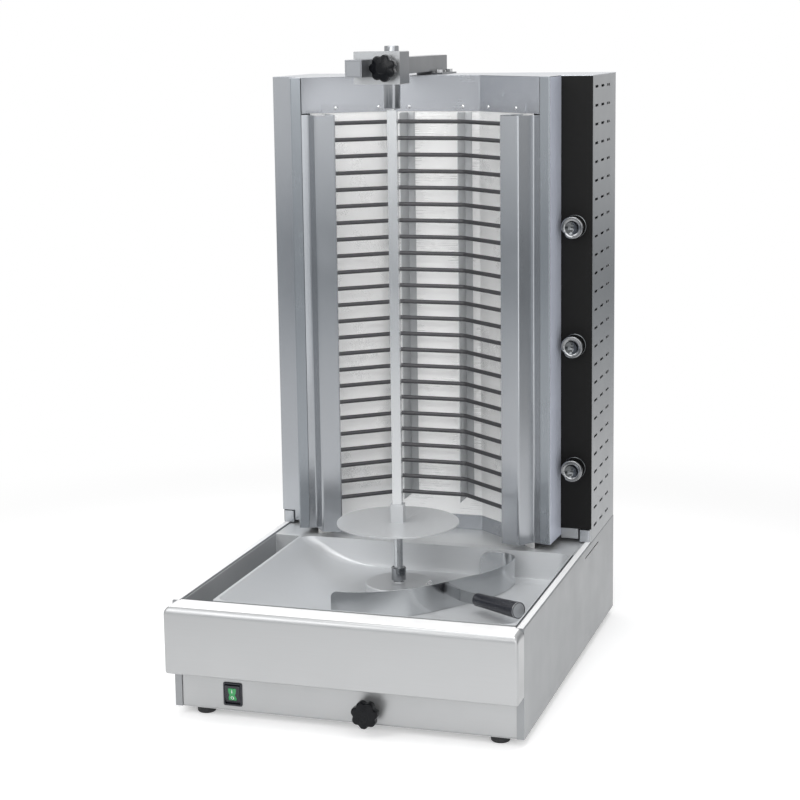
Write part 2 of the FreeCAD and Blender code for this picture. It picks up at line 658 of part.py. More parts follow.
# --- star knobs ---------------------------------------------------------------------------------
def star_knob(x, y, z, stud_length):
    """Lobed clamp knob facing -Y whose hub ends at y, with its stud behind."""
    body = Part.makeCylinder(KNOB_RADIUS - KNOB_ROOT, KNOB_THICKNESS)
    lobe = KNOB_RADIUS * KNOB_LOBE_SHARE
    for i in range(KNOB_LOBES):
        angle = 2 * math.pi * (i + 0.5) / KNOB_LOBES
        notch = Part.makeCylinder(lobe, KNOB_THICKNESS + 2, Vector(
            KNOB_RADIUS * math.cos(angle), KNOB_RADIUS * math.sin(angle), -1))
        body = body.cut(notch)
        tip_angle = 2 * math.pi * i / KNOB_LOBES
        reach = KNOB_RADIUS - lobe
        body = body.fuse(Part.makeCylinder(lobe, KNOB_THICKNESS, Vector(
            reach * math.cos(tip_angle), reach * math.sin(tip_angle), 0)))
    dome = [(0, -KNOB_HUB_LENGTH), (KNOB_HUB_RADIUS, -KNOB_HUB_LENGTH), (KNOB_HUB_RADIUS, 0),
            (KNOB_RADIUS + 1, 0), (KNOB_RADIUS + 1, KNOB_THICKNESS - KNOB_DOME),
            (KNOB_RADIUS - KNOB_DOME, KNOB_THICKNESS), (0, KNOB_THICKNESS)]
    hub = Part.makeCylinder(KNOB_HUB_RADIUS, KNOB_HUB_LENGTH, Vector(0, 0, -KNOB_HUB_LENGTH))
    knob = fuse(body.common(turned(dome, 0, 0)), hub)
    stud = Part.makeCylinder(STUD_RADIUS, stud_length, Vector(0, 0, -KNOB_HUB_LENGTH - stud_length))
    knob = fuse(knob, stud)
    knob.translate(Vector(0, 0, KNOB_HUB_LENGTH))
    knob.rotate(Vector(0, 0, 0), Vector(1, 0, 0), 90)
    knob.translate(Vector(x, y, z))
    return knob


# --- carriage and drive -------------------------------------------------------------------------
def slide_rails():
    """Two grooved rails under the well that carry the motor plate."""
    top = FLOOR - SHEET
    outer = PLATE_HALF + RAIL_WIDTH / 2
    inner = PLATE_HALF - RAIL_WIDTH / 2
    groove_top = PLATE_TOP + FIT
    groove_low = PLATE_TOP - PLATE_THICKNESS - FIT
    points = [(inner, top - RAIL_DEPTH), (outer, top - RAIL_DEPTH), (outer, top), (inner, top),
              (inner, groove_top), (PLATE_HALF + FIT, groove_top), (PLATE_HALF + FIT, groove_low),
              (inner, groove_low)]
    reach = PLATE_LENGTH / 2 + TRAVEL
    rail = along_y(prism(outline(points, [0] * len(points)), SPIT_Y - reach, SPIT_Y + reach))
    return [rail, mirrored(rail)]


def motor_plate():
    """Sliding plate with the bearing neck's hole."""
    plate = box(-PLATE_HALF, PLATE_HALF, SPIT_Y - PLATE_LENGTH / 2, SPIT_Y + PLATE_LENGTH / 2,
                PLATE_TOP - PLATE_THICKNESS, PLATE_TOP)
    hole = rod(NECK_RADIUS, (0, SPIT_Y, PLATE_TOP - 2 * PLATE_THICKNESS), (0, SPIT_Y, PLATE_TOP + 1))
    return plate.cut(hole)


def gear_motor():
    """Gearbox under the plate with the motor below it; the drive shaft turns in its bore."""
    half = GEARBOX_SIDE / 2
    high = PLATE_TOP - PLATE_THICKNESS
    gearbox = rounded_box(-half, half, SPIT_Y - half, SPIT_Y + half, GEARBOX_LOW, high,
                          GEARBOX_CORNER)
    low = GEARBOX_LOW - MOTOR_HEIGHT
    profile = [(0, low), (MOTOR_RADIUS - MOTOR_CHAMFER, low), (MOTOR_RADIUS, low + MOTOR_CHAMFER),
               (MOTOR_RADIUS, GEARBOX_LOW), (0, GEARBOX_LOW)]
    motor = turned(profile, 0, SPIT_Y)
    bore = rod(SPIT_ROD_RADIUS + RUNNING, (0, SPIT_Y, GEARBOX_LOW + GEARBOX_FLOOR), (0, SPIT_Y, high + 1))
    return fuse(gearbox, motor).cut(bore)


def bearing_neck():
    """Tube from the motor plate up through the floors, in which the drive shaft turns."""
    bore = SPIT_ROD_RADIUS + RUNNING
    low = PLATE_TOP - PLATE_THICKNESS
    neck = NECK_RADIUS - NECK_STEP
    top = COVER_TOP + NECK_OUT
    profile = [(bore, low), (NECK_RADIUS, low), (NECK_RADIUS, COVER_TOP - SHEET), (neck, COVER_TOP - SHEET),
               (neck, top), (bore, top)]
    return turned(profile, 0, SPIT_Y)


def slot_cover():
    """Shallow round cap on the bearing neck that hides the slot in the tray."""
    low = TRAY_FLOOR + FIT
    neck = NECK_RADIUS - NECK_STEP
    inside = COVER_RADIUS - SHEET
    under = COVER_TOP - SHEET
    profile = [(neck, under), (inside - COVER_CHAMFER, under), (inside, under - COVER_CHAMFER), (inside, low),
               (COVER_RADIUS, low), (COVER_RADIUS, COVER_TOP - COVER_CHAMFER),
               (COVER_RADIUS - COVER_CHAMFER, COVER_TOP), (neck, COVER_TOP)]
    return turned(profile, 0, SPIT_Y)


def cover_screws():
    """Two small pan-head screws near the cap's edge."""
    top = COVER_TOP + COVER_SCREW_HEAD
    head = [(0, COVER_TOP), (COVER_SCREW, COVER_TOP), (COVER_SCREW - COVER_SCREW_HEAD / 2, top), (0, top)]
    reach = COVER_RADIUS - COVER_SCREW_INSET
    first = SPIT_Y + COVER_SCREW_FIRST
    return [turned(head, reach, y) for y in (first, first + SCREW_SPACING)]


def drive_shaft():
    """Motor shaft that ends in a cross-slotted socket for the spit's rod."""
    low = GEARBOX_LOW + GEARBOX_FLOOR + FIT
    seat = SOCKET_LOW + SOCKET_FLOOR
    top = SOCKET_LOW + SOCKET_HEIGHT
    profile = [(0, low), (SPIT_ROD_RADIUS, low), (SPIT_ROD_RADIUS, SOCKET_LOW), (SOCKET_RADIUS, SOCKET_LOW),
               (SOCKET_RADIUS, top - SOCKET_CHAMFER), (SOCKET_RADIUS - SOCKET_CHAMFER, top),
               (SPIT_ROD_RADIUS, top), (SPIT_ROD_RADIUS, seat), (0, seat)]
    shaft = turned(profile, 0, SPIT_Y)
    reach = 2 * SOCKET_RADIUS
    half = SOCKET_SLOT / 2
    slot = box(-reach, reach, -half, half, top - SOCKET_SLOT_DEPTH, top + 1)
    slot = slot.fuse(box(-half, half, -reach, reach, top - SOCKET_SLOT_DEPTH, top + 1))
    slot.rotate(Vector(0, 0, 0), Vector(0, 0, 1), SPIT_TURN)
    slot.translate(Vector(0, SPIT_Y, 0))
    return shaft.cut(slot)


def clamp_plug():
    """Fixed expanding plug behind the plinth, which locks the drawbar from inside."""
    face = PLINTH_Y + SHEET
    bore = STUD_RADIUS + FIT
    rim = PLUG_RADIUS + PLUG_FLANGE_RIM
    profile = [(bore, -PLUG_LENGTH), (PLUG_RADIUS, -PLUG_LENGTH), (PLUG_RADIUS, -PLUG_FLANGE),
               (rim, -PLUG_FLANGE), (rim, 0), (bore, 0)]
    plug = facing_front(profile, LOCK_X, face, LOCK_Z)
    half = PLUG_SPLIT / 2
    split = box(LOCK_X - half, LOCK_X + half, face + PLUG_LENGTH / 2, face + PLUG_LENGTH + 1,
                LOCK_Z - 2 * PLUG_RADIUS, LOCK_Z + 2 * PLUG_RADIUS)
    return plug.cut(split)


def drawbar():
    """Tube that slides over the plug, with its bracket down from the motor plate."""
    bore = PLUG_RADIUS + RUNNING
    outer = bore + DRAWBAR_WALL
    back = SPIT_Y - PLATE_LENGTH / 2
    front = PLINTH_Y + SHEET + PLUG_FLANGE + TRAVEL + DRAWBAR_CLEARANCE
    tube = rod(outer, (LOCK_X, front, LOCK_Z), (LOCK_X, back, LOCK_Z))
    hole = rod(bore, (LOCK_X, front - 1, LOCK_Z), (LOCK_X, back - PLATE_THICKNESS, LOCK_Z))
    bracket = box(LOCK_X - outer, LOCK_X + outer, back - PLATE_THICKNESS, back, LOCK_Z - outer, PLATE_TOP)
    return fuse(tube, bracket).cut(hole)


def build_drive():
    """Sliding carriage, its lock and the drive."""
    export("slide_rails", *slide_rails())
    export("motor_plate", motor_plate())
    export("gear_motor", gear_motor())
    export("bearing_neck", bearing_neck())
    export("slot_cover", slot_cover())
    export("cover_screws", *cover_screws())
    export("drive_shaft", drive_shaft())
    export("clamp_plug", clamp_plug())
    export("drawbar", drawbar())
    export("lower_star_knob", star_knob(LOCK_X, PLINTH_Y - FIT, LOCK_Z,
                                        PLUG_LENGTH * STUD_SHARE))


# --- spit ---------------------------------------------------------------------------------------
def spit_bar():
    """Round foot, square bar through the meat and round journal at the top."""
    seat = SOCKET_LOW + 4.0
    square_low = DISC_TOP - DISC_THICKNESS
    square_top = BUSHING_LOW - 2.0
    foot = rod(SPIT_ROD_RADIUS, (0, SPIT_Y, seat), (0, SPIT_Y, square_low))
    half = SPIT_SIDE / 2
    bar = box(-half, half, -half, half, square_low, square_top)
    bar.rotate(Vector(0, 0, 0), Vector(0, 0, 1), SPIT_TURN)
    bar.translate(Vector(0, SPIT_Y, 0))
    top = square_top + JOURNAL_LENGTH
    journal = turned([(0, square_top), (JOURNAL_RADIUS, square_top), (JOURNAL_RADIUS, top - 2),
                      (JOURNAL_RADIUS - 2, top), (0, top)], 0, SPIT_Y)
    return fuse(foot, bar, journal)


def meat_disc():
    """Round plate under the meat with a square hub sleeve on the bar."""
    plate = turned([(0, DISC_TOP - DISC_THICKNESS), (DISC_RADIUS, DISC_TOP - DISC_THICKNESS),
                    (DISC_RADIUS, DISC_TOP), (0, DISC_TOP)], 0, 0)
    hub = rounded_box(-HUB_SIDE / 2, HUB_SIDE / 2, -HUB_SIDE / 2, HUB_SIDE / 2, DISC_TOP,
                      DISC_TOP + HUB_HEIGHT, HUB_CORNER)
    half = SPIT_SIDE / 2
    hole = box(-half, half, -half, half, DISC_TOP - 2 * DISC_THICKNESS, DISC_TOP + HUB_HEIGHT + 1)
    disc = fuse(plate, hub).cut(hole)
    disc.rotate(Vector(0, 0, 0), Vector(0, 0, 1), SPIT_TURN)
    disc.translate(Vector(0, SPIT_Y, 0))
    return disc


def build_spit():
    """The turning spit."""
    export("spit_bar", spit_bar())
    export("meat_disc", meat_disc())


# --- scoop --------------------------------------------------------------------------------------
def scoop_path():
    """Plan corners of the scoop's wall: left end, front bend, side bend, far corner, far end."""
    return [(INNER - inset, SPIT_Y + y) for inset, y in SCOOP_CORNERS]


def scoop_pan():
    """Crescent scoop: thin bent wall with rounded ends on a flat crescent floor."""
    path = scoop_path()
    wall = bent_sheet(path, SCOOP_LOW, SCOOP_TOP, SCOOP_BENDS)
    tips = [edge for edge in wall.Edges if abs(edge.Length - SHEET) < 0.01
            and abs(edge.CenterOfMass.z - SCOOP_TOP) < 0.01]
    tips.sort(key=lambda edge: edge.CenterOfMass.y)
    wall = wall.makeFillet(SCOOP_CORNER, tips[:1])
    tips = [edge for edge in wall.Edges if abs(edge.Length - SHEET) < 0.01
            and abs(edge.CenterOfMass.z - SCOOP_TOP) < 0.01]
    wall = wall.makeFillet(SCOOP_END_CORNER, tips)
    outer_radii = [0.0] + [bend + SHEET for bend in SCOOP_BENDS] + [0.0]
    floor = prism(outline(path, outer_radii), SCOOP_LOW, SCOOP_LOW + SHEET)
    clear = COVER_RADIUS + TRAVEL + SCOOP_MARGIN
    mouth = rod(clear, (0, SPIT_Y, SCOOP_LOW - 1), (0, SPIT_Y, SCOOP_LOW + 2 * SHEET))
    return fuse(wall, floor.cut(mouth))


def handle_line():
    """Where the handle meets the scoop's wall, and its direction square to the wall and slightly up."""
    path = scoop_path()
    front = Vector(*path[1], 0)
    side = Vector(*path[2], 0)
    run = (side - front).normalize()
    start = front + (side - front) * HANDLE_PLACE + Vector(0, 0, SCOOP_LOW + HANDLE_RADIUS + HANDLE_RISE)
    return start, Vector(run.y, -run.x, math.tan(math.radians(HANDLE_TILT))).normalize()


def scoop_handle():
    """Round grip with a rounded end, drawn along +Z."""
    grip = Part.makeCylinder(HANDLE_RADIUS, HANDLE_LENGTH)
    return grip.makeFillet(HANDLE_ROUND, [edge for edge in grip.Edges
                                          if edge.CenterOfMass.z > HANDLE_LENGTH - 1
                                          and edge.Curve.TypeId == "Part::GeomCircle"])


def build_scoop():
    """The loose scoop for carved meat: pan, flat tang and grip along the handle's line."""
    pan = scoop_pan()
    start, along = handle_line()
    heading = math.degrees(math.atan2(along.y, along.x))
    tang = box(-2 * SHEET, TANG_LENGTH, -TANG_THICKNESS / 2, TANG_THICKNESS / 2,
               -TANG_WIDTH / 2, TANG_WIDTH / 2)
    grip = scoop_handle()
    grip.rotate(Vector(0, 0, 0), Vector(0, 1, 0), 90)
    grip.translate(Vector(TANG_LENGTH, 0, 0))
    for shape in (tang, grip):
        shape.rotate(Vector(0, 0, 0), Vector(0, 1, 0), -HANDLE_TILT)
        shape.rotate(Vector(0, 0, 0), Vector(0, 0, 1), heading)
        shape.translate(start)
    outside = sorted(tang.cut(pan).Solids, key=lambda solid: solid.Volume)[-1]
    export("scoop_pan", pan)
    export("scoop_tang", outside)
    export("scoop_handle", grip)


# --- tower shell --------------------------------------------------------------------------------
def burner_path(reach_x):
    """Plan path of the burner back, left to right: two slanted parts and the flat middle."""
    reach_y = BACK_Y - (reach_x - BACK_HALF) * math.tan(SLANT)
    return [(-reach_x, reach_y), (-BACK_HALF, BACK_Y), (BACK_HALF, BACK_Y), (reach_x, reach_y)]


def tower_side():
    """Right tower side: wall with rows of slots, back flange and front flange."""
    front = TOWER_Y + PANEL_THICKNESS
    path = [(HALF - SIDE_FLANGE, front), (HALF, front), (HALF, BACK), (HALF - RIM_WIDTH, BACK)]
    wall = bent_sheet(path, RIM, LID_UNDER)
    notch = box(HALF - SIDE_FLANGE - 1, HALF - SHEET - BEND, front - 1, front + SHEET + BEND,
                RIM - 1, FLANGE_LOW)
    wall = fuse(wall.cut(notch), sill(front, SHEET, FLANGE_LOW + SILL_LAP))
    cuts = []
    for row in range(SIDE_ROWS):
        z = BOTTOM + ROW_LOW + row * ROW_PITCH
        if z + SLOT_HEIGHT > LID_UNDER:
            break
        for column in range(SLOTS_PER_ROW):
            y = TOWER_Y + SLOT_FIRST + column * SLOT_PITCH
            cuts.append(box(HALF - 2 * SHEET, HALF + SHEET, y - SLOT_LENGTH / 2, y + SLOT_LENGTH / 2,
                            z - SLOT_HEIGHT / 2, z + SLOT_HEIGHT / 2))
    return wall.cut(Part.makeCompound(cuts))


def tower_back():
    """Back panel between the side flanges with two columns of vents."""
    x = HALF - RIM_WIDTH - FIT
    plate = box(-x, x, BACK - SHEET, BACK, RIM, LID_UNDER)
    cuts = []
    for row in range(VENT_ROWS):
        z = TOP - VENT_DROP - row * VENT_PITCH
        for side in (-1, 1):
            left = side * VENT_X - VENT_LENGTH / 2
            cuts.append(box(left, left + VENT_LENGTH, BACK - 2 * SHEET, BACK + 1, z, z + VENT_HEIGHT))
    return plate.cut(Part.makeCompound(cuts))


def tower_lid():
    """Top sheet, cut to the burner bay in front."""
    hood_front = HOOD_HALF - HOOD_TAPER
    points = [(-HALF, TOWER_Y), (-HOOD_HALF, TOWER_Y), (-hood_front, HOOD_Y), (-EDGE_X, EDGE_Y),
              (-BACK_HALF, BACK_Y), (BACK_HALF, BACK_Y), (EDGE_X, EDGE_Y), (hood_front, HOOD_Y),
              (HOOD_HALF, TOWER_Y), (HALF, TOWER_Y), (HALF, BACK), (-HALF, BACK)]
    return prism(outline(points, [0.0] * len(points)), LID_UNDER, TOP)


def front_panel():
    """Right front panel of the tower."""
    return box(HOOD_HALF, HALF, TOWER_Y, TOWER_Y + PANEL_THICKNESS, FLANGE_LOW, LID_UNDER)


def sill(front, thickness, high):
    """Strip below the right front panel that closes the gap between hood and corner block."""
    end = HALF - SHEET - BEND - CORNER_BLOCK - SILL_GAP
    return box(HOOD_HALF + FIT, end, front, front + thickness, FLANGE_LOW - SILL_DROP, high)


def control_panel():
    """The front panel with a hole for each regulator's shaft."""
    panel = front_panel()
    for height in DIAL_HEIGHTS:
        z = BOTTOM + height
        deep = TOWER_Y + 2 * PANEL_THICKNESS
        panel = panel.cut(rod(DIAL_SHAFT + FIT, (DIAL_X, TOWER_Y - 1, z), (DIAL_X, deep, z)))
    return panel


def corner_blocks():
    """Blocks between the rim and the tower's front corners."""
    right = HALF - SHEET - BEND
    block = rounded_box(right - CORNER_BLOCK, right, TOWER_Y + FIT, TOWER_Y + FIT + CORNER_BLOCK,
                        RIM, FLANGE_LOW - CORNER_BLOCK_DROP, CORNER_BLOCK_RADIUS)
    return [block, mirrored(block)]


def hood():
    """Right burner hood: slim front flange and the side wall back to the tower front."""
    path = [(EDGE_X, EDGE_Y), (HOOD_HALF - HOOD_TAPER, HOOD_Y), (HOOD_HALF, TOWER_Y),
            (HOOD_HALF, TOWER_Y + HOOD_LAP)]
    return bent_sheet(path, HOOD_LOW, LID_UNDER, [BEND, 4 * BEND])


def header():
    """Panel over the heating elements, folded like the burner back."""
    return bent_sheet(burner_path(EDGE_X - SHEET), HEADER_LOW, LID_UNDER, [BURNER_BEND] * 2)


def reflector():
    """Polished back of the burner bay below the header."""
    return bent_sheet(burner_path(WING_VALLEY - SHEET), LEDGE, HEADER_LOW, [BURNER_BEND] * 2)


def header_strip():
    """Cover strip screwed along the header's lower edge."""
    path = burner_path(STRIP_HALF)[::-1]
    return bent_sheet(path, HEADER_LOW, HEADER_LOW + STRIP_HEIGHT, [BURNER_BEND - SHEET] * 2)


def header_screws():
    """Six pan-head screws on the cover strip."""
    z = HEADER_LOW + STRIP_HEIGHT / 2
    profile = [(0, 0), (SCREW_RADIUS, 0), (SCREW_RADIUS - SCREW_CHAMFER, SCREW_HEAD), (0, SCREW_HEAD)]
    screws = []
    for side in (-1, 1):
        screws.append(facing_front(profile, side * (BACK_HALF - SCREW_INSET), BACK_Y - SHEET, z))
        for share in SCREW_SHARES:
            across = share * (STRIP_HALF - BACK_HALF)
            head = facing_front(profile, 0, -SHEET, 0)
            head.rotate(Vector(0, 0, 0), Vector(0, 0, 1), -side * math.degrees(SLANT))
            head.translate(Vector(side * (BACK_HALF + across), BACK_Y - across * math.tan(SLANT), z))
            screws.append(head)
    return screws


def window_lip():
    """Skirt along the foot of the reflector with a turned-back top edge."""
    path = burner_path(WING_FOLD)[::-1]
    return bent_sheet(path, LEDGE, LEDGE + LIP_HEIGHT, [BURNER_BEND - SHEET] * 2)


def wing_points():
    """Plan path of the right wing from its inner edge to the hood."""
    fold_y = ROD_END_Y - WING_STANDOFF
    return [(WING_INNER, fold_y + WING_TURN_BACK), (WING_FOLD, fold_y),
            (WING_VALLEY, HOOD_Y + WING_VALLEY_BACK), (EDGE_X - SHEET / 2, EDGE_Y)]


def wing():
    """Right wing: folded guard beside the heating elements with a rounded front fold."""
    bends = [WING_FOLD_BEND, WING_VALLEY_BEND]
    return bent_sheet(wing_points(), HOOD_LOW, TOP - WING_TOP_DROP, bends)


def build_tower():
    """The tower's shell and the burner bay's sheets."""
    pair("tower_side", tower_side())
    export("tower_back", tower_back())
    export("tower_lid", tower_lid())
    export("control_panel", control_panel())
    plain_panel = fuse(front_panel(), sill(TOWER_Y, PANEL_THICKNESS, FLANGE_LOW + SILL_LAP))
    export("left_front_panel", mirrored(plain_panel))
    export("corner_blocks", *corner_blocks())
    pair("hood", hood())
    export("header", header())
    export("header_strip", header_strip())
    export("header_screws", *header_screws())
    export("reflector", reflector())
    export("window_lip", window_lip())
    pair("wing", wing())


# --- heating elements ---------------------------------------------------------------------------
def rod_heights():
    """Heights of all rods from the lowest up."""
    return [BOTTOM + ROD_LOW + i * ROD_PITCH for i in range(ZONES * ZONE_RODS)]


def heating_rod(z):
    """One tubular element: a flat middle and two arms bent towards the front."""
    turn = SLANT / 2
    reach = ROD_BEND_RADIUS * math.tan(turn)
    bend_x = ROD_BEND_HALF
    arm = Vector(math.cos(SLANT), -math.sin(SLANT), 0)
    corner = Vector(bend_x, ROD_Y, z)
    start = corner - Vector(reach, 0, 0)
    end = corner + arm * reach
    centre = start - Vector(0, ROD_BEND_RADIUS, 0)
    middle = centre + Vector(math.sin(turn), math.cos(turn), 0) * ROD_BEND_RADIUS
    tip = Vector(ROD_END, ROD_END_Y, z)

    def flip(point):
        return Vector(-point.x, point.y, point.z)

    edges = [Part.makeLine(flip(tip), flip(end)),
             Part.Arc(flip(end), flip(middle), flip(start)).toShape(),
             Part.makeLine(flip(start), start),
             Part.Arc(start, middle, end).toShape(),
             Part.makeLine(end, tip)]
    spine = Part.Wire(edges)
    circle = Part.Wire(Part.makeCircle(ROD_RADIUS, flip(tip), flip(end) - flip(tip)))
    return spine.makePipeShell([circle], True, False)


def terminal_plate():
    """Right terminal plate: closes the bay behind the wing, square to the rods' ends."""
    along = Vector(math.cos(SLANT), -math.sin(SLANT), 0)
    across = Vector(math.sin(SLANT), math.cos(SLANT), 0)
    tip = Vector(ROD_END, ROD_END_Y, 0)
    front = tip - across * (ROD_RADIUS + TERMINAL_COVER)
    back = tip + across * (ROD_STANDOFF - FIT)
    points = [front, front + along * SHEET, back + along * SHEET, back]
    wire = outline([(p.x, p.y) for p in points], [0.0] * 4)
    return prism(wire, LEDGE + LIP_HEIGHT, HEADER_LOW - TERMINAL_GAP)


def rod_support():
    """Right support: a foot strip on the reflector and a comb whose notches hold the rods."""
    low = rod_heights()[0] - COMB_END
    high = rod_heights()[-1] + COMB_END
    foot = box(SUPPORT_HALF - SUPPORT_FOOT / 2, SUPPORT_HALF + SUPPORT_FOOT / 2,
               BACK_Y - SHEET, BACK_Y, low, high)
    comb = box(SUPPORT_HALF - SHEET / 2, SUPPORT_HALF + SHEET / 2,
               ROD_Y - COMB_REACH, BACK_Y - SHEET / 2, low, high)
    notches = []
    for z in rod_heights():
        notches.append(box(SUPPORT_HALF - SHEET, SUPPORT_HALF + SHEET, ROD_Y - 2 * COMB_REACH,
                           ROD_Y + ROD_RADIUS + FIT, z - ROD_RADIUS - FIT, z + ROD_RADIUS + FIT))
    return fuse(foot, comb.cut(Part.makeCompound(notches)))


def build_heating():
    """Heating zones with their supports and terminal plates."""
    heights = rod_heights()
    names = ("bottom", "middle", "top")
    for zone in range(ZONES):
        rods = [heating_rod(z) for z in heights[zone * ZONE_RODS:(zone + 1) * ZONE_RODS]]
        export("heating_zone_" + names[zone], *rods)
    plate = terminal_plate()
    export("terminal_plates", plate, mirrored(plate))
    support = rod_support()
    export("rod_supports", support, mirrored(support))


# --- controls -----------------------------------------------------------------------------------
def dial(z):
    """Control knob with a wide dished face, on the spindle that turns in the regulator."""
    grip = DIAL_RADIUS - DIAL_STEP
    rim = grip - DIAL_ROUND - DIAL_RIM
    spindle = -(FIT + PANEL_THICKNESS + SHEET + REGULATOR_DEPTH / 2)
    profile = [(0, spindle), (DIAL_SHAFT, spindle), (DIAL_SHAFT, 0), (DIAL_RADIUS, 0),
               (DIAL_RADIUS, DIAL_SKIRT), (grip, DIAL_SKIRT + DIAL_STEP),
               (grip, DIAL_LENGTH - DIAL_ROUND), (grip - DIAL_ROUND, DIAL_LENGTH), (rim, DIAL_LENGTH),
               (rim - DIAL_DISH, DIAL_LENGTH - DIAL_DISH), (0, DIAL_LENGTH - DIAL_DISH)]
    return facing_front(profile, DIAL_X, TOWER_Y - FIT, z)


def regulator(z):
    """Zone regulator behind the panel with the bore for the knob's spindle."""
    half = REGULATOR_HEIGHT / 2
    back = TOWER_Y + PANEL_THICKNESS
    body = box(HOOD_HALF + REGULATOR_CLEARANCE, HALF - SHEET - REGULATOR_CLEARANCE,
               back + SHEET, back + SHEET + REGULATOR_DEPTH, z - half, z + half)
    deep = back + SHEET + REGULATOR_DEPTH / 2 + FIT
    return body.cut(rod(DIAL_SHAFT + RUNNING, (DIAL_X, back, z), (DIAL_X, deep, z)))


def build_controls():
    """The three zone knobs and their regulators."""
    names = ("bottom", "middle", "top")
    regulators = []
    for name, height in zip(names, DIAL_HEIGHTS):
        export("zone_knob_" + name, dial(BOTTOM + height))
        regulators.append(regulator(BOTTOM + height))
    export("zone_regulators", *regulators)


# --- upper arm ----------------------------------------------------------------------------------
def arm_bar():
    """Square tube that runs forward over the tower's lid to the clamp block."""
    half = BAR_SIDE / 2
    front = SPIT_Y - BAR_FRONT
    outer = box(BAR_X - half, BAR_X + half, front, BACK, BAR_LOW, BAR_LOW + BAR_SIDE)
    inner = box(BAR_X - half + BAR_WALL, BAR_X + half - BAR_WALL, front - 1, BACK + 1,
                BAR_LOW + BAR_WALL, BAR_LOW + BAR_SIDE - BAR_WALL)
    return outer.cut(inner)


def arm_caps():
    """Plugs in both ends of the arm's tube."""
    half = BAR_SIDE / 2 - BAR_WALL
    front = SPIT_Y - BAR_FRONT
    low = BAR_LOW + BAR_WALL
    high = BAR_LOW + BAR_SIDE - BAR_WALL
    return [box(BAR_X - half, BAR_X + half, y, y + CAP_DEPTH, low, high) for y in (front, BACK - CAP_DEPTH)]


def arm_foot():
    """Foot plate on the lid with two pads under the tube."""
    half = BAR_SIDE / 2
    back = BACK - FOOT_PLATE_SETBACK
    front = back - FOOT_PLATE_LENGTH
    plate = box(BAR_X - half, BAR_X - half + FOOT_PLATE_WIDTH, front, back, TOP, TOP + FOOT_PLATE_THICKNESS)
    pads = [box(BAR_X - half, BAR_X + half, y, y + PAD_LENGTH, TOP, BAR_LOW)
            for y in (front + PAD_INSET, back - PAD_INSET - PAD_LENGTH)]
    return fuse(plate, *pads)


def hexagon_head(x, y, low, across, height):
    """Hexagon bolt head standing on its seat."""
    radius = across / math.sqrt(3)
    angles = [math.pi * i / 3 for i in range(6)]
    points = [(x + radius * math.cos(angle), y + radius * math.sin(angle)) for angle in angles]
    return prism(outline(points, [0.0] * 6), low, low + height)


def arm_bolts():
    """Two bolts beside the tube that hold the foot plate on the lid."""
    x = BAR_X + BAR_SIDE / 2 + BOLT_GAP
    back = BACK - FOOT_PLATE_SETBACK
    places = (back - FOOT_PLATE_LENGTH + BOLT_INSET, back - BOLT_INSET)
    return [hexagon_head(x, y, TOP + FOOT_PLATE_THICKNESS, BOLT_ACROSS, BOLT_HEAD) for y in places]


def clamp_block():
    """Block that slides on the tube and holds the bushing, with the clamp knob's tapped hole."""
    half = BAR_SIDE / 2 + FIT
    block = box(-BLOCK_LEFT, BLOCK_RIGHT, BLOCK_FRONT, BLOCK_FRONT + BLOCK_DEPTH, BLOCK_LOW, BLOCK_TOP)
    along = [edge for edge in block.Edges if abs(edge.CenterOfMass.y - SPIT_Y) < 1]
    block = block.makeChamfer(BLOCK_CHAMFER, along)
    passage = box(BAR_X - half, BAR_X + half, BLOCK_FRONT - 1, BLOCK_FRONT + BLOCK_DEPTH + 1,
                  BAR_Z - half, BAR_Z + half)
    bore = rod(BUSHING_RADIUS + RUNNING, (0, SPIT_Y, BLOCK_LOW - 1), (0, SPIT_Y, BLOCK_TOP + 1))
    stud_hole = rod(STUD_RADIUS + FIT, (0, BLOCK_FRONT - 1, BAR_Z), (0, SPIT_Y, BAR_Z))
    return block.cut(passage).cut(bore).cut(stud_hole)


def top_bushing():
    """Sleeve that holds the spit's journal and slides up through the block to free it."""
    bore_top = BUSHING_LOW + JOURNAL_LENGTH + JOURNAL_ROOM
    top = BLOCK_TOP + BUSHING_TOP
    bore = JOURNAL_RADIUS + RUNNING
    profile = [(bore, BUSHING_LOW), (BUSHING_RADIUS - BUSHING_CHAMFER, BUSHING_LOW),
               (BUSHING_RADIUS, BUSHING_LOW + BUSHING_CHAMFER), (BUSHING_RADIUS, BLOCK_TOP - BUSHING_NECK),
               (BUSHING_HEAD_RADIUS, BLOCK_TOP), (BUSHING_HEAD_RADIUS, top - BUSHING_CHAMFER),
               (BUSHING_HEAD_RADIUS - BUSHING_CHAMFER, top), (0, top), (0, bore_top), (bore, bore_top)]
    return turned(profile, 0, SPIT_Y)


def build_arm():
    """The arm over the tower and the upper bearing."""
    export("arm_bar", arm_bar())
    export("arm_caps", *arm_caps())
    export("arm_foot", arm_foot())
    export("arm_bolts", *arm_bolts())
    export("clamp_block", clamp_block())
    export("top_bushing", top_bushing())
    stud = SPIT_Y - BUSHING_RADIUS - FIT - (BLOCK_FRONT - FIT)
    export("upper_star_knob", star_knob(0, BLOCK_FRONT - FIT, BAR_Z, stud))


os.makedirs("parts", exist_ok=True)
build_base()
build_switch()
build_drive()
build_spit()
build_scoop()
build_tower()
build_heating()
build_controls()
build_arm()
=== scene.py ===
# %% [markdown]
# # An electric skewer grill
# An upright grill: a folded stainless base with a sunk fat well, a tower that holds three banks of
# tubular heating elements, and a square spit that turns in front of them. This lesson dresses the
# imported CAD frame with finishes, and with the few pieces that look better when they are surfaces
# worked out from formulas: the pressed tray, the lobed clamp knobs, the dished zone knobs, the switch,
# the grip and the screws.

import json
import math

import bmesh
import bpy
import numpy as np
from mathutils import Matrix, Vector


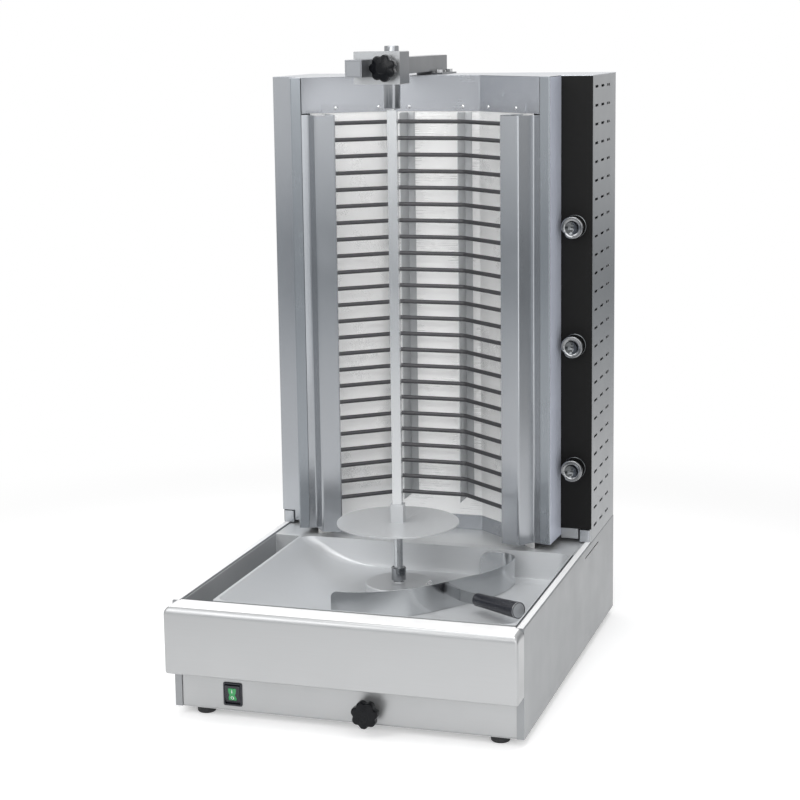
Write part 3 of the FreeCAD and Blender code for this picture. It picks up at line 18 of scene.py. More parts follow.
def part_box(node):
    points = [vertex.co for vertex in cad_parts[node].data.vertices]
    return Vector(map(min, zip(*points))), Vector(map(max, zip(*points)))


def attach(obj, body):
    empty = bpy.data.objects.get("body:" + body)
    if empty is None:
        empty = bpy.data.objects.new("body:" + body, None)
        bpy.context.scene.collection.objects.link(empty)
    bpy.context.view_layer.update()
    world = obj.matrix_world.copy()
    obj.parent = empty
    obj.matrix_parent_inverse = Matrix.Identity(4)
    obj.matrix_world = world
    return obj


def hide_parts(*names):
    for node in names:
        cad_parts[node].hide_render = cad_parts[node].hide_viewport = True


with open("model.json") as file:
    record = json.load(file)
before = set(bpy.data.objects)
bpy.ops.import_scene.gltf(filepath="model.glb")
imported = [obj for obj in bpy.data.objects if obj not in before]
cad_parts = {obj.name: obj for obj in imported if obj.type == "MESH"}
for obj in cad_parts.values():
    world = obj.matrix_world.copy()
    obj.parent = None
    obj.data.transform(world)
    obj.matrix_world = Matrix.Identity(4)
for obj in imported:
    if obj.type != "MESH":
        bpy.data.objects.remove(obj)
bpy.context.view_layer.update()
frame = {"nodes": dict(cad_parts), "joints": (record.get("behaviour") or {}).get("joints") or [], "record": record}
MM = 0.001
record = frame["record"]
body_of = {node: body for body, nodes in record["behaviour"]["bodies"].items() for node in nodes}
joints = {joint["name"]: joint for joint in frame["joints"]}


# %% [markdown]
# ## Colours and nodes
# Colours are written as sRGB hex codes, the way a paint chart gives them, and turned to linear light
# once, here. One helper adds any shader node with its settings and links, so that each material below
# reads as a short recipe. Another puts new data into the scene as an object at the origin.

# %% Colour and node helpers
def linear(code):
    """Linear RGBA of an sRGB hex code: c/12.92 below 0.04045, else ((c + 0.055)/1.055)^2.4."""
    channels = [int(code[i:i + 2], 16) / 255 for i in (0, 2, 4)]
    curve = [c / 12.92 if c <= 0.04045 else ((c + 0.055) / 1.055) ** 2.4 for c in channels]
    return (*curve, 1.0)


def add(tree, kind, settings=None, links=None):
    """Adds a node; a setting or link named by text or number is an input, other settings are attributes."""
    node = tree.nodes.new("ShaderNode" + kind)
    for key, value in (settings or {}).items():
        if isinstance(key, int) or key in node.inputs:
            node.inputs[key].default_value = value
        else:
            setattr(node, key, value)
    for key, output in (links or {}).items():
        tree.links.new(output, node.inputs[key])
    return node


def new_material(name, settings):
    """An empty material with one Principled shader, and the shader's settings."""
    material = bpy.data.materials.new(name)
    material.use_nodes = True
    shader = material.node_tree.nodes["Principled BSDF"]
    for key, value in settings.items():
        shader.inputs[key].default_value = value
    return material, material.node_tree, shader


def into_scene(name, data):
    """A new object for a mesh, lamp or camera, linked to the scene and left at the origin."""
    piece = bpy.data.objects.new(name, data)
    bpy.context.scene.collection.objects.link(piece)
    return piece


print("linear mid grey", [round(c, 3) for c in linear("808080")[:3]])


# %% [markdown]
# ## Brushed stainless steel
# Grade 304 sheet, finished on a belt: fine parallel scratches with a satin sheen. The real scratches
# are about 0.1 mm apart, too fine to show from two metres, so they are drawn 0.7 mm wide. Noise
# stretched along the grain gives the scratches, and two slower noises give the gentle waves of a thin
# folded sheet and the patches where hands and cloths have dulled it.

# %% Brushed stainless steel
SCRATCH = 0.7 * MM  # drawn wider than the real 0.1 mm, so that it shows
SCRATCH_RUN = 90 * MM
SCRATCH_HEIGHT = 0.4 * MM
SHEET_WAVE = 160 * MM
WAVE_HEIGHT = 6 * MM
WIPE_PATCH = 55 * MM
HIGHLIGHT_STRETCH = 0.6
QUARTER_TURN = 0.25  # so that it stretches across the scratches, not along them
GRAIN_LEAN = (0.03, 0.02, 0.01)  # so that a face square to the grain has a direction too
PALE_LINE = 1.09  # how much paler than the sheet a line can be
NOISE_SPAN = (0.4, 1.1)  # where the sum of the two noises mostly lies
ROUGHNESS_SPAN = (-0.04, 0.06)  # round the steel's own roughness


def brushed_stainless(name, grain, colour, roughness, scratch, wave, metallic=0.75):
    """Satin sheet whose scratches run along the grain axis, 0 for X, 1 for Y and 2 for Z. Colour runs
    from the sheet's own to a paler one with the scratch noise; roughness follows half the scratch
    noise plus the patch noise; height is the sum of slow waves and scratches."""
    material, tree, shader = new_material(name, {"Metallic": metallic, "Anisotropic": HIGHLIGHT_STRETCH,
                                                 "Anisotropic Rotation": QUARTER_TURN})
    direction = list(GRAIN_LEAN)
    direction[grain] = 1.0
    run = add(tree, "VectorTransform", {"vector_type": "VECTOR", "convert_from": "OBJECT",
                                        "convert_to": "WORLD", "Vector": direction})
    tree.links.new(run.outputs["Vector"], shader.inputs["Tangent"])
    place = add(tree, "TexCoord").outputs["Object"]
    stretch = [1 / SCRATCH] * 3
    stretch[grain] = 1 / SCRATCH_RUN
    along = add(tree, "Mapping", {"Scale": stretch}, {"Vector": place}).outputs["Vector"]
    lines = add(tree, "TexNoise", {"Scale": 1.0, "Detail": 3.0, "Roughness": 0.6}, {"Vector": along})
    patch = add(tree, "TexNoise", {"Scale": 1 / WIPE_PATCH, "Detail": 2.0}, {"Vector": place})
    waves = add(tree, "TexNoise", {"Scale": 1 / SHEET_WAVE, "Detail": 1.0}, {"Vector": place})
    dark = linear(colour)
    pale = tuple(min(1.0, c * PALE_LINE) for c in dark[:3]) + (1.0,)
    tone = add(tree, "Mix", {"data_type": "RGBA", 6: dark, 7: pale}, {0: lines.outputs["Fac"]})
    tree.links.new(tone.outputs[2], shader.inputs["Base Color"])
    both = add(tree, "Math", {"operation": "MULTIPLY_ADD", 1: 0.5},
               {0: lines.outputs["Fac"], 2: patch.outputs["Fac"]})
    spread = add(tree, "MapRange", {1: NOISE_SPAN[0], 2: NOISE_SPAN[1], 3: roughness + ROUGHNESS_SPAN[0],
                                    4: roughness + ROUGHNESS_SPAN[1]}, {0: both.outputs[0]})
    tree.links.new(spread.outputs[0], shader.inputs["Roughness"])
    bow = add(tree, "Bump", {"Strength": wave, "Distance": WAVE_HEIGHT}, {"Height": waves.outputs["Fac"]})
    groove = add(tree, "Bump", {"Strength": scratch, "Distance": SCRATCH_HEIGHT},
                 {"Height": lines.outputs["Fac"], "Normal": bow.outputs["Normal"]})
    tree.links.new(groove.outputs["Normal"], shader.inputs["Normal"])
    return material


# %% [markdown]
# ## The steels of the housing
# Every sheet is the same steel, but it meets the eye differently: by its grain, by how far it was
# ground, and by how much of the bright room it turns to the eye. That last part is also painted into
# the colours: several sheets get a paler or darker colour as painted light and shade, told on each line.
# After the name come the grain axis, the colour, the roughness, the depth of the scratches and of the
# waves, and the share of metal. With less metal a sheet is less of a mirror and more of an even grey.

# %% Steels
# Front plates: a broad, quiet sheen that keeps one tone from end to end.
steel_front = brushed_stainless("stainless_front_across", 0, "aaabac", 0.32, 0.010, 0.02)
# Header and lid: a closer sheen, and a cold cast in the colour that is a painted reflection of the room above.
steel_header_painted_cold_cast = brushed_stainless("stainless_header_painted_cold_cast", 0, "b3b6bb", 0.24, 0.010, 0.02)
# Ledge behind the tray: pale and even; its pale colour is painted light that lifts it out of the tower's shadow.
steel_deck_painted_light = brushed_stainless("stainless_deck_painted_light", 0, "cacccd", 0.34, 0.010, 0.02, 0.5)
# Base sides: a darker colour than the front, painted shade because they turn away from the light.
steel_side_painted_shade = brushed_stainless("stainless_side_painted_shade", 1, "919395", 0.38, 0.012, 0.02)
# Arm: drawn tube, the darkest colour of the steels, painted shade, which sets it off from the white behind.
steel_bar = brushed_stainless("stainless_bar_drawn_painted_shade", 1, "5c5e61", 0.34, 0.02, 0.02, 0.45)
# Upward folds of the base: almost white lines that outline the deck, a painted highlight from the lamp overhead.
steel_fold_painted_highlight = brushed_stainless("stainless_fold_painted_highlight", 0, "f6f6f6", 0.30, 0.004, 0.01, 0.15)
# Combs that hold the elements: dull, so that the elements stand out before them.
steel_support = brushed_stainless("stainless_support_dull", 2, "b2b4b6", 0.46, 0.010, 0.02, 0.5)
# Wings and upright panels: long vertical gradients, since a reflection stays sharper along the grain.
steel_upright = brushed_stainless("stainless_upright", 2, "a2a5a9", 0.20, 0.010, 0.02, 0.85)
# Hoods: a step darker than the wings, a painted shade, so that the folds between them read.
steel_hood_painted_shade = brushed_stainless("stainless_hood_upright_painted_shade", 2, "8f9499", 0.24, 0.010, 0.02, 0.75)
# Side walls of the hoods: a pale bluish band beside the black panel, painted light and a painted reflection.
steel_return_painted_light = brushed_stainless("stainless_hood_return_painted_light", 2, "c6cbd8", 0.36, 0.010, 0.02, 0.30)
# Slotted sides of the tower: flat mid grey, against which the slots are black.
steel_louvre = brushed_stainless("stainless_louvred_side", 2, "a4a6a8", 0.36, 0.012, 0.02)
# Tray: smooth and half glossy from the press, with a faint image of the scoop.
steel_tray = brushed_stainless("stainless_pressed_tray", 0, "c4c6c8", 0.33, 0.004, 0.01, 0.42)
# Well under the tray: soft grey in the gap on the left.
steel_well = brushed_stainless("stainless_well_shadowed", 0, "b4b6b8", 0.45, 0.010, 0.02, 0.5)
# Meat disc: ground flat, one even tone.
steel_disc = brushed_stainless("stainless_disc_ground", 0, "b8babc", 0.42, 0.008, 0.01, 0.55)
# Scoop: polished, with bright and dark bands bent by its curve.
steel_scoop = brushed_stainless("stainless_scoop_polished", 0, "c2c4c6", 0.13, 0.004, 0.03, 1.0)
# Spit: ground bar, one bright face and one darker.
steel_spit = brushed_stainless("stainless_spit_ground", 2, "c8cacc", 0.22, 0.015, 0.01, 0.85)
# Reflector behind the elements: bright-annealed, the palest field of the whole grill.
bright_annealed = brushed_stainless("stainless_bright_annealed", 0, "fdfdfc", 0.28, 0.02, 0.06, 0.30)
print("steels", len(bpy.data.materials))


# %% [markdown]
# ## Element sheath, castings and plating
# The elements are steel-sheathed tubes whose sheath oxidised dark grey and matte when first fired. The
# clamp block is machined aluminium, the zone knobs are chrome plated, and what sits below the deck is
# zinc-plated or painted. None of them has a grain, so one fine random noise drives them all. After the
# name come two colours, the size of a grain, the share of metal, the roughness and the relief.

# %% Other metals
SPECK_HEIGHT = 0.3 * MM
SPECK_SPAN = (0.3, 0.7)  # where a noise mostly lies


def speckled(name, low, high, grain_size, metallic, roughness, bump, spread=0.08, level=0.5):
    """A finish with an even random grain: colour, roughness and height all follow one noise."""
    material, tree, shader = new_material(name, {"Metallic": metallic, "Specular IOR Level": level})
    place = add(tree, "TexCoord").outputs["Object"]
    grain = add(tree, "TexNoise", {"Scale": 1 / grain_size, "Detail": 4.0, "Roughness": 0.65},
                {"Vector": place})
    tone = add(tree, "Mix", {"data_type": "RGBA", 6: linear(low), 7: linear(high)},
               {0: grain.outputs["Fac"]})
    tree.links.new(tone.outputs[2], shader.inputs["Base Color"])
    shine = add(tree, "MapRange", {1: SPECK_SPAN[0], 2: SPECK_SPAN[1], 3: roughness - spread,
                                   4: roughness + spread}, {0: grain.outputs["Fac"]})
    tree.links.new(shine.outputs[0], shader.inputs["Roughness"])
    relief = add(tree, "Bump", {"Strength": bump, "Distance": SPECK_HEIGHT},
                 {"Height": grain.outputs["Fac"]})
    tree.links.new(relief.outputs["Normal"], shader.inputs["Normal"])
    return material


# Element sheath: nearly black and matte, a row of dark lines before the reflector.
element_sheath = speckled("element_sheath_oxidised", "3a3a3c", "545457", 2.5 * MM, 0.45, 0.42, 0.10)
# Clamp block: a pale satin face, and a right side whose darker colour is painted shade.
cast_block = speckled("aluminium_machined_satin", "a9abad", "b6b8ba", 1.2 * MM, 0.9, 0.34, 0.04)
block_side_painted_shade = speckled("aluminium_block_side_painted_shade", "6c6e71", "7a7c7f", 1.2 * MM, 0.9, 0.34, 0.04)
# Cut front ends of the arm, and its top face as painted light: paler than the drawn tube.
bar_end_and_lit_top = speckled("arm_steel_cut_end_and_painted_light_top", "8a8d91", "97999d", 1.2 * MM, 0.6, 0.34, 0.04)
# Zinc: cloudy light grey of plated hardware.
zinc = speckled("steel_zinc_plated", "8f9496", "b4b9bc", 9 * MM, 0.9, 0.38, 0.05)
# Turned bushing and shaft: a bright line down a dark round.
turned_steel = speckled("steel_turned_bright", "85878a", "95979a", 0.8 * MM, 1.0, 0.18, 0.03, 0.03)
# Screws: small bright dots.
screw_steel = speckled("screw_nickel_plated", "d0d1d3", "e6e6e7", 0.6 * MM, 1.0, 0.20, 0.03, 0.05)
# Zone knobs: one chrome in three colours, a painted highlight on the rim and painted shade in the bowl and on the
# barrel.
plated_rim_painted_highlight = speckled("chrome_rim_painted_highlight", "7e7f81", "88898b", 6 * MM, 1.0, 0.12, 0.01, 0.03)
plated_barrel_painted_shade = speckled("chrome_barrel_painted_shade", "4c4e50", "5a5c5e", 6 * MM, 1.0, 0.16, 0.01, 0.03)
plated_bowl_painted_shade = speckled("chrome_bowl_painted_shade", "545658", "606264", 6 * MM, 1.0, 0.10, 0.01, 0.03)
# Motor and regulators: flat dark enamel.
motor_paint = speckled("motor_enamel_grey", "3c3e40", "46494b", 0.8 * MM, 0.0, 0.45, 0.08)
print("metals", element_sheath.name, cast_block.name, zinc.name, motor_paint.name)


# %% [markdown]
# ## Plastics, enamel and rubber
# The control panel is black powder coat with a very fine orange peel. The clamp knobs are phenolic
# resin straight from a polished mould, with a faint ripple. The switch is black nylon with a green
# polycarbonate lens that a lamp lights from behind, and the grip is PVC. The same noise serves, with
# no share of metal, and the panel and the clamp knobs mirror less than plastic does by itself.

# %% Dark finishes
# Panel: the deepest flat black of the grill.
powder_coat = speckled("powder_coat_black", "0f0f0f", "131313", 0.9 * MM, 0.0, 0.50, 0.08, level=0.15)
# Clamp knobs: black with small soft lights on the lobes.
phenolic = speckled("phenolic_moulded_black", "08090c", "0e1014", 3 * MM, 0.0, 0.22, 0.03, level=0.18)
# Grip: black with one long light down its side.
grip_pvc = speckled("pvc_grip_black", "15161d", "1d1f28", 1.5 * MM, 0.0, 0.30, 0.06)
# Switch frame and rocker: a slightly blue black with softened edges.
nylon = speckled("nylon_switch_black", "1a1b22", "24262e", 0.7 * MM, 0.0, 0.32, 0.06)
# Feet: dull black.
rubber = speckled("rubber_foot_black", "17181a", "222325", 1.0 * MM, 0.0, 0.62, 0.15)
# Printed marks: plain white, legible on the lens.
white_mark = speckled("printed_mark_white", "d8dcd8", "eceeec", 1.0 * MM, 0.0, 0.5, 0.02)
LENS_PRISM = 1.6 * MM
LENS_GLOW = 0.35


def lit_lens(name):
    """Green lens: glossy plastic moulded in small prisms, which glow most at their middles."""
    material, tree, shader = new_material(name, {"Roughness": 0.12, "Coat Weight": 0.6,
                                                 "Base Color": linear("0f7a3c")})
    place = add(tree, "TexCoord").outputs["Object"]
    prisms = add(tree, "TexVoronoi", {"Scale": 1 / LENS_PRISM}, {"Vector": place})
    glow = add(tree, "ValToRGB", {}, {"Fac": prisms.outputs["Distance"]})
    glow.color_ramp.elements[0].color = linear("2fae63")
    glow.color_ramp.elements[1].color = linear("064a20")
    tree.links.new(glow.outputs["Color"], shader.inputs["Emission Color"])
    shader.inputs["Emission Strength"].default_value = LENS_GLOW
    relief = add(tree, "Bump", {"Strength": 0.3, "Distance": SPECK_HEIGHT},
                 {"Height": prisms.outputs["Distance"]})
    tree.links.new(relief.outputs["Normal"], shader.inputs["Normal"])
    return material


green_lens = lit_lens("polycarbonate_lens_green")
print("dark finishes", powder_coat.name, phenolic.name, grip_pvc.name, green_lens.name)


# %% [markdown]
# ## Dressing a sheet-metal or turned piece
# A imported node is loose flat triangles. A copy whose corners are merged can be shaded smooth where it
# is curved and keep crisp edges elsewhere, and a narrow bevel gives each sheet edge the thin bright
# line that a deburred edge has. The copy then stands for the node, on the same body.

# %% Dress a node
SMOOTH_ANGLE = math.radians(28)  # corners sharper than this stay crisp
MERGE = 0.002 * MM
FLAT_ANGLE = math.radians(0.6)  # faces closer than this are one flat face
SHEET_EDGE = 0.25  # bevel of a deburred sheet edge, in millimetres


def ride_with(piece, node, *replaced):
    """Puts a piece on the node's body, in place of the replaced nodes."""
    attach(piece, body_of[node])
    if replaced:
        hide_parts(*replaced)


def welded(node, flatten=False):
    """Copy of a CAD node's mesh with the corners of neighbouring triangles joined, and if asked with
    the triangles of each flat face joined too."""
    mesh = frame["nodes"][node].data.copy()
    work = bmesh.new()
    work.from_mesh(mesh)
    bmesh.ops.remove_doubles(work, verts=work.verts, dist=MERGE)
    if flatten:
        bmesh.ops.dissolve_limit(work, angle_limit=FLAT_ANGLE, verts=work.verts, edges=work.edges)
    work.to_mesh(mesh)
    work.free()
    return mesh


def dress(node, material, edge=SHEET_EDGE, segments=2):
    """Smooth-shaded copy of a CAD node with its edges rounded by that many millimetres."""
    mesh = welded(node, flatten=True)
    mesh.materials.clear()
    mesh.materials.append(material)
    mesh.polygons.foreach_set("use_smooth", [True] * len(mesh.polygons))
    mesh.set_sharp_from_angle(angle=SMOOTH_ANGLE)
    piece = into_scene(node + "_dressed", mesh)
    bevel = piece.modifiers.new("deburred_edges", "BEVEL")
    bevel.width = edge * MM
    bevel.segments = segments
    bevel.limit_method = "ANGLE"
    bevel.angle_limit = SMOOTH_ANGLE
    bevel.harden_normals = True
    ride_with(piece, node, node)
    return piece


FINISHES = {
    steel_front: ("front_fascia", "plinth_front", "base_back", "bottom_plate"),
    steel_header_painted_cold_cast: ("header", "header_strip", "window_lip", "tower_lid"),
    steel_deck_painted_light: ("rear_ledge",),
    steel_side_painted_shade: ("base_side_left", "base_side_right", "scoop_tang"),
    steel_bar: ("arm_bar", "arm_caps", "arm_foot"),
    steel_upright: ("tower_back", "left_front_panel", "wing_left", "wing_right", "terminal_plates",
                    "corner_blocks"),
    steel_support: ("rod_supports",),
    steel_hood_painted_shade: ("hood_left", "hood_right"),
    steel_louvre: ("tower_side_left", "tower_side_right"),
    steel_tray: ("slot_cover",),
    steel_well: ("deck_well",),
    steel_disc: ("meat_disc",),
    steel_scoop: ("scoop_pan",),
    steel_spit: ("spit_bar",),
    bright_annealed: ("reflector",),
    element_sheath: ("heating_zone_bottom", "heating_zone_middle", "heating_zone_top"),
    cast_block: ("clamp_block",),
    screw_steel: ("bearing_neck", "arm_bolts"),
    turned_steel: ("top_bushing", "drive_shaft"),
    powder_coat: ("control_panel",),
    rubber: ("feet",),
    zinc: ("slide_rails", "motor_plate", "drawbar", "clamp_plug"),
    motor_paint: ("gear_motor", "zone_regulators"),
    phenolic: ("cable_gland",),
}
WIDER_EDGES = {"clamp_block": 0.6, "arm_bar": 0.8, "feet": 0.8, "spit_bar": 0.4, "control_panel": 0.3}
dressed = {}
for finish, nodes in FINISHES.items():
    for node in nodes:
        dressed[node] = dress(node, finish, WIDER_EDGES.get(node, SHEET_EDGE))
print("dressed", len(dressed), "nodes")


# %% [markdown]
# ## Faces with a finish of their own
# A folded sheet is one piece, but its faces look into different parts of the room, and here that is
# painted into their colours: the folds on top of the base get a painted highlight for the lamp overhead,
# and the hoods' side walls a paler colour as painted light. The clamp block's right side gets a darker
# colour as painted shade, and the arm's top face a paler one as painted light, which its cut front end
# shares. Such faces are picked by the way they point and given a second material. These are set for a
# view from the front.

# %% Second finishes
FACING = 0.9  # cosine of the widest angle that still counts, 26 degrees


def refinish(node, direction, material):
    """Gives the faces that point along a direction a finish of their own."""
    mesh = dressed[node].data
    mesh.materials.append(material)
    normals = np.empty(3 * len(mesh.polygons))
    mesh.polygons.foreach_get("normal", normals)
    chosen = normals.reshape(-1, 3) @ np.array(direction, float) > FACING
    index = np.empty(len(mesh.polygons), np.int32)
    mesh.polygons.foreach_get("material_index", index)
    index[chosen] = len(mesh.materials) - 1
    mesh.polygons.foreach_set("material_index", index)


# Painted light and shade: paler hood side walls, a darker block side, a paler arm top and white folds.
refinish("hood_left", (-1, 0, 0), steel_return_painted_light)
refinish("hood_right", (1, 0, 0), steel_return_painted_light)
refinish("clamp_block", (1, 0, 0), block_side_painted_shade)
refinish("arm_caps", (0, -1, 0), bar_end_and_lit_top)
refinish("arm_bar", (0, -1, 0), bar_end_and_lit_top)
refinish("arm_bar", (0, 0, 1), bar_end_and_lit_top)
for node in ("front_fascia", "base_side_left", "base_side_right"):
    refinish(node, (0, 0, 1), steel_fold_painted_highlight)
print("second finish on", [node for node, piece in dressed.items() if len(piece.data.materials) > 1])


# %% [markdown]
# ## Surfaces from formulas
# Every new piece below is a grid of points: rows along a profile, columns around it. One function
# turns such a grid into a closed mesh, and another turns it from its own axis to where it belongs.

# %% Grid helpers
def once_round(count):
    """Evenly spaced angles once round a circle."""
    return np.arange(count) * 2 * math.pi / count


def ring_faces(index):
    """Faces between the neighbouring rows of a grid of corner numbers, each row joined to a ring."""
    here = index[:-1]
    above = index[1:]
    return np.stack([here, np.roll(here, -1, 1), np.roll(above, -1, 1), above], -1).reshape(-1, 4).tolist()


def grid_mesh(name, points, material, sharp=SMOOTH_ANGLE, shell=False):
    """Mesh over points[row, column]: columns join up in a ring. The first and last row are closed by a
    face each, or on a shell with a hole through it they join each other."""
    rows, columns = points.shape[:2]
    index = np.arange(rows * columns).reshape(rows, columns)
    if shell:
        index = np.concatenate([index, index[:1]])
    caps = [] if shell else [index[0, ::-1].tolist(), index[-1].tolist()]
    mesh = bpy.data.meshes.new(name)
    mesh.from_pydata(points.reshape(-1, 3).tolist(), [], ring_faces(index) + caps)
    mesh.polygons.foreach_set("use_smooth", [True] * len(mesh.polygons))
    mesh.set_sharp_from_angle(angle=sharp)
    mesh.materials.append(material)
    work = bmesh.new()
    work.from_mesh(mesh)
    bmesh.ops.recalc_face_normals(work, faces=work.faces)
    work.to_mesh(mesh)
    work.free()
    return into_scene(name, mesh)


def turned(radius, height):
    """Points about Z: radius[row, column] times cosine and sine, and each row at its own height."""
    angle = once_round(radius.shape[1])
    flat = radius[..., None] * np.stack([np.cos(angle), np.sin(angle)], -1)
    return np.concatenate([flat, np.broadcast_to(height[:, None, None], (*radius.shape, 1))], -1)


def lathe(profile, around=64):
    """Points of a profile of (radius, height) rows, in millimetres, turned about Z."""
    radius, height = np.array(profile, float).T
    return turned(np.tile(radius[:, None], around), height)


def stand(points, axis, origin, up=(0, 0, 1)):
    """Turns points so that their Z runs along the axis, scales millimetres to metres and places them."""
    z = np.array(axis, float)
    z = z / np.linalg.norm(z)
    x = np.cross(np.array(up, float), z)
    x = x / np.linalg.norm(x)
    y = np.cross(z, x)
    return points @ np.stack([x, y, z]) * MM + np.array(origin, float)


def rounded_ring(half_width, half_height, corner, per_corner=6):
    """Rounded rectangle: four quarter circles whose centres are drawn in by the corner radius."""
    quarter = np.linspace(0, math.pi / 2, per_corner)
    angle = np.concatenate([quarter + k * math.pi / 2 for k in range(4)])
    sign_x = np.repeat([1, -1, -1, 1], per_corner)
    sign_y = np.repeat([1, 1, -1, -1], per_corner)
    x = sign_x * (half_width - corner) + corner * np.cos(angle)
    y = sign_y * (half_height - corner) + corner * np.sin(angle)
    return np.stack([x, y], -1)


def raised(flat, height):
    """Points in the plane, all lifted to one height."""
    return np.c_[flat, np.full(len(flat), height)]


def ring_stack(rows):
    """Rows of (half width, half height, corner, height) as points for grid_mesh."""
    return np.array([raised(rounded_ring(w, h, c), z) for w, h, c, z in rows])


print("a ring of 64 columns turns", lathe([(1, 0)]).shape)


# %% [markdown]
# ## The fat tray
# The tray is one pressed sheet: a flat floor with a slot for the drive's neck, walls that stand almost
# upright, and a long easy slope on the left down which the fat runs. It could be a box with its corners
# rounded, but a stack of rounded rectangles gives slope, corners and rim in one skin. From floor to rim
# they widen in even steps, and the height follows the square of the step, so that the slope starts
# level with the floor. The stack runs up inside from the slot, over the rim and back down outside.

# %% Tray
TRAY_SHEET = 1.2
TRAY_RUNS = np.array([122.0, 3.0, 3.0, 3.0])  # left, right, front and back walls
TRAY_CORNER = 22.0
RIM_SIDES = np.array([4.0, 2.0, 2.0, 19.0])  # rim outside the left, right, front and back walls
RIM_CORNER = 4.0
SLOT_HALF_WIDTH = 10.8  # the bearing neck and its play
SLOT_TRAVEL = 20.0  # the carriage's travel either way
WALL_RINGS = 22
CORNER_POINTS = 9
OUTWARD = np.array([-1, 1, -1, 1])  # for the left, right, front and back sides
tray_low, tray_high = [np.array(tuple(corner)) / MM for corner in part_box("drip_tray")]
rim_box = np.array([tray_low[0], tray_high[0], tray_low[1], tray_high[1]])
mouth = rim_box - OUTWARD * RIM_SIDES
cover_low, cover_high = [np.array(tuple(corner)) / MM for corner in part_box("slot_cover")]
slot_reach = np.repeat([SLOT_HALF_WIDTH, SLOT_HALF_WIDTH + SLOT_TRAVEL], 2)
slot_sides = np.repeat((cover_low + cover_high)[:2] / 2, 2) + OUTWARD * slot_reach


def tray_ring(sides, corner, height):
    """Rounded rectangle between left, right, front and back at one height."""
    left, right, front, back = sides
    flat = rounded_ring((right - left) / 2, (back - front) / 2, corner, CORNER_POINTS)
    return raised(flat + np.array([(left + right) / 2, (front + back) / 2]), height)


def tray_wall(outside):
    """Rings from floor to rim; inset = run * (1 - share), height = depth * share^2. The outer skin lies
    a sheet's thickness outside and below the inner one."""
    floor_height = tray_low[2] + TRAY_SHEET - outside
    depth = tray_high[2] - TRAY_SHEET - tray_low[2]
    return [tray_ring(mouth - OUTWARD * (TRAY_RUNS * (1 - share) - outside), TRAY_CORNER + outside,
                      floor_height + depth * share ** 2) for share in np.linspace(0, 1, WALL_RINGS)]


slot_corner = SLOT_HALF_WIDTH - 0.01  # just short of a half circle, so that no two points coincide
rings = [tray_ring(slot_sides, slot_corner, tray_low[2] + TRAY_SHEET), *tray_wall(0.0),
         tray_ring(rim_box, RIM_CORNER, tray_high[2]),
         tray_ring(rim_box, RIM_CORNER, tray_high[2] - TRAY_SHEET),
         *tray_wall(TRAY_SHEET)[::-1], tray_ring(slot_sides, slot_corner, tray_low[2])]
tray = grid_mesh("drip_tray_pressed", np.array(rings) * MM, steel_tray, shell=True)
ride_with(tray, "drip_tray", "drip_tray")
print("tray opening", mouth.round(1), "mm")


# %% [markdown]
# ## Star knobs
# A clamp knob for a gloved, greasy hand: seven lobes round a thick disc on a short hub. Cylinders could
# cut the valleys from a disc, but each would end in hard corners. Here the outline is a circle whose
# radius dips between the lobes as a power of a sine, which keeps the lobes broad and the valleys
# narrow, and quarter circles round it off at the back and the face.

# %% Star knobs
KNOB_RADIUS = 20.5
KNOB_LOBES = 7
VALLEY = 3.0
VALLEY_POWER = 3.4  # higher makes the valleys narrower
KNOB_THICK = 16.0
HUB_RADIUS = 8.0
HUB_LENGTH = 11.0
HUB_FLARE = 0.8
BACK_ROUND = 2.2
FACE_ROUND = 3.2
FACE_RISE = 1.2  # the middle of the face over its rounded edge
LOBE_INSET = 0.2
STAR_FACE = ((11.0, -0.5), (8.4, -0.1), (7.9, -0.5), (5.0, -0.2), (0.4, 0.0))  # a ring and a low boss
STAR_COLUMNS = 168


def star_points(turn):
    """Rows from hub to face; radius = own circle + share * (lobed outline). The outline is the knob's
    circle less the valley depth times |sin|^power of half the lobes' angle."""
    angle = once_round(STAR_COLUMNS)
    dip = np.abs(np.sin(KNOB_LOBES * (angle - turn) / 2)) ** VALLEY_POWER
    outline = KNOB_RADIUS - VALLEY * dip
    edge = np.linspace(0, math.pi / 2, 7)
    top = HUB_LENGTH + KNOB_THICK
    side = top - FACE_RISE - FACE_ROUND
    rows = [(HUB_RADIUS, 0, 0.0), (HUB_RADIUS, 0, HUB_LENGTH - HUB_FLARE),
            (HUB_RADIUS + HUB_FLARE, 0, HUB_LENGTH)]
    rows += [(-BACK_ROUND * (1 - math.sin(a)) - LOBE_INSET, 1, HUB_LENGTH + BACK_ROUND * (1 - math.cos(a)))
             for a in edge]
    rows += [(-FACE_ROUND * (1 - math.cos(a)) - LOBE_INSET, 1, side + FACE_ROUND * math.sin(a))
             for a in edge]
    rows += [(radius, 0, top + drop) for radius, drop in STAR_FACE]
    own, lobed, height = np.array(rows, float).T
    return turned(outline[None] * lobed[:, None] + own[:, None], height)


print("outline of", KNOB_LOBES, "lobes,", star_points(0).shape[:2], "rows and columns")


# %% [markdown]
# ## The star knobs on their studs
# Each knob sits on its joint's axis with its hub on the seat, and behind it goes the stud, whose thread
# is a row of crests and roots. The two knobs are left at different turns, as a hand leaves them.

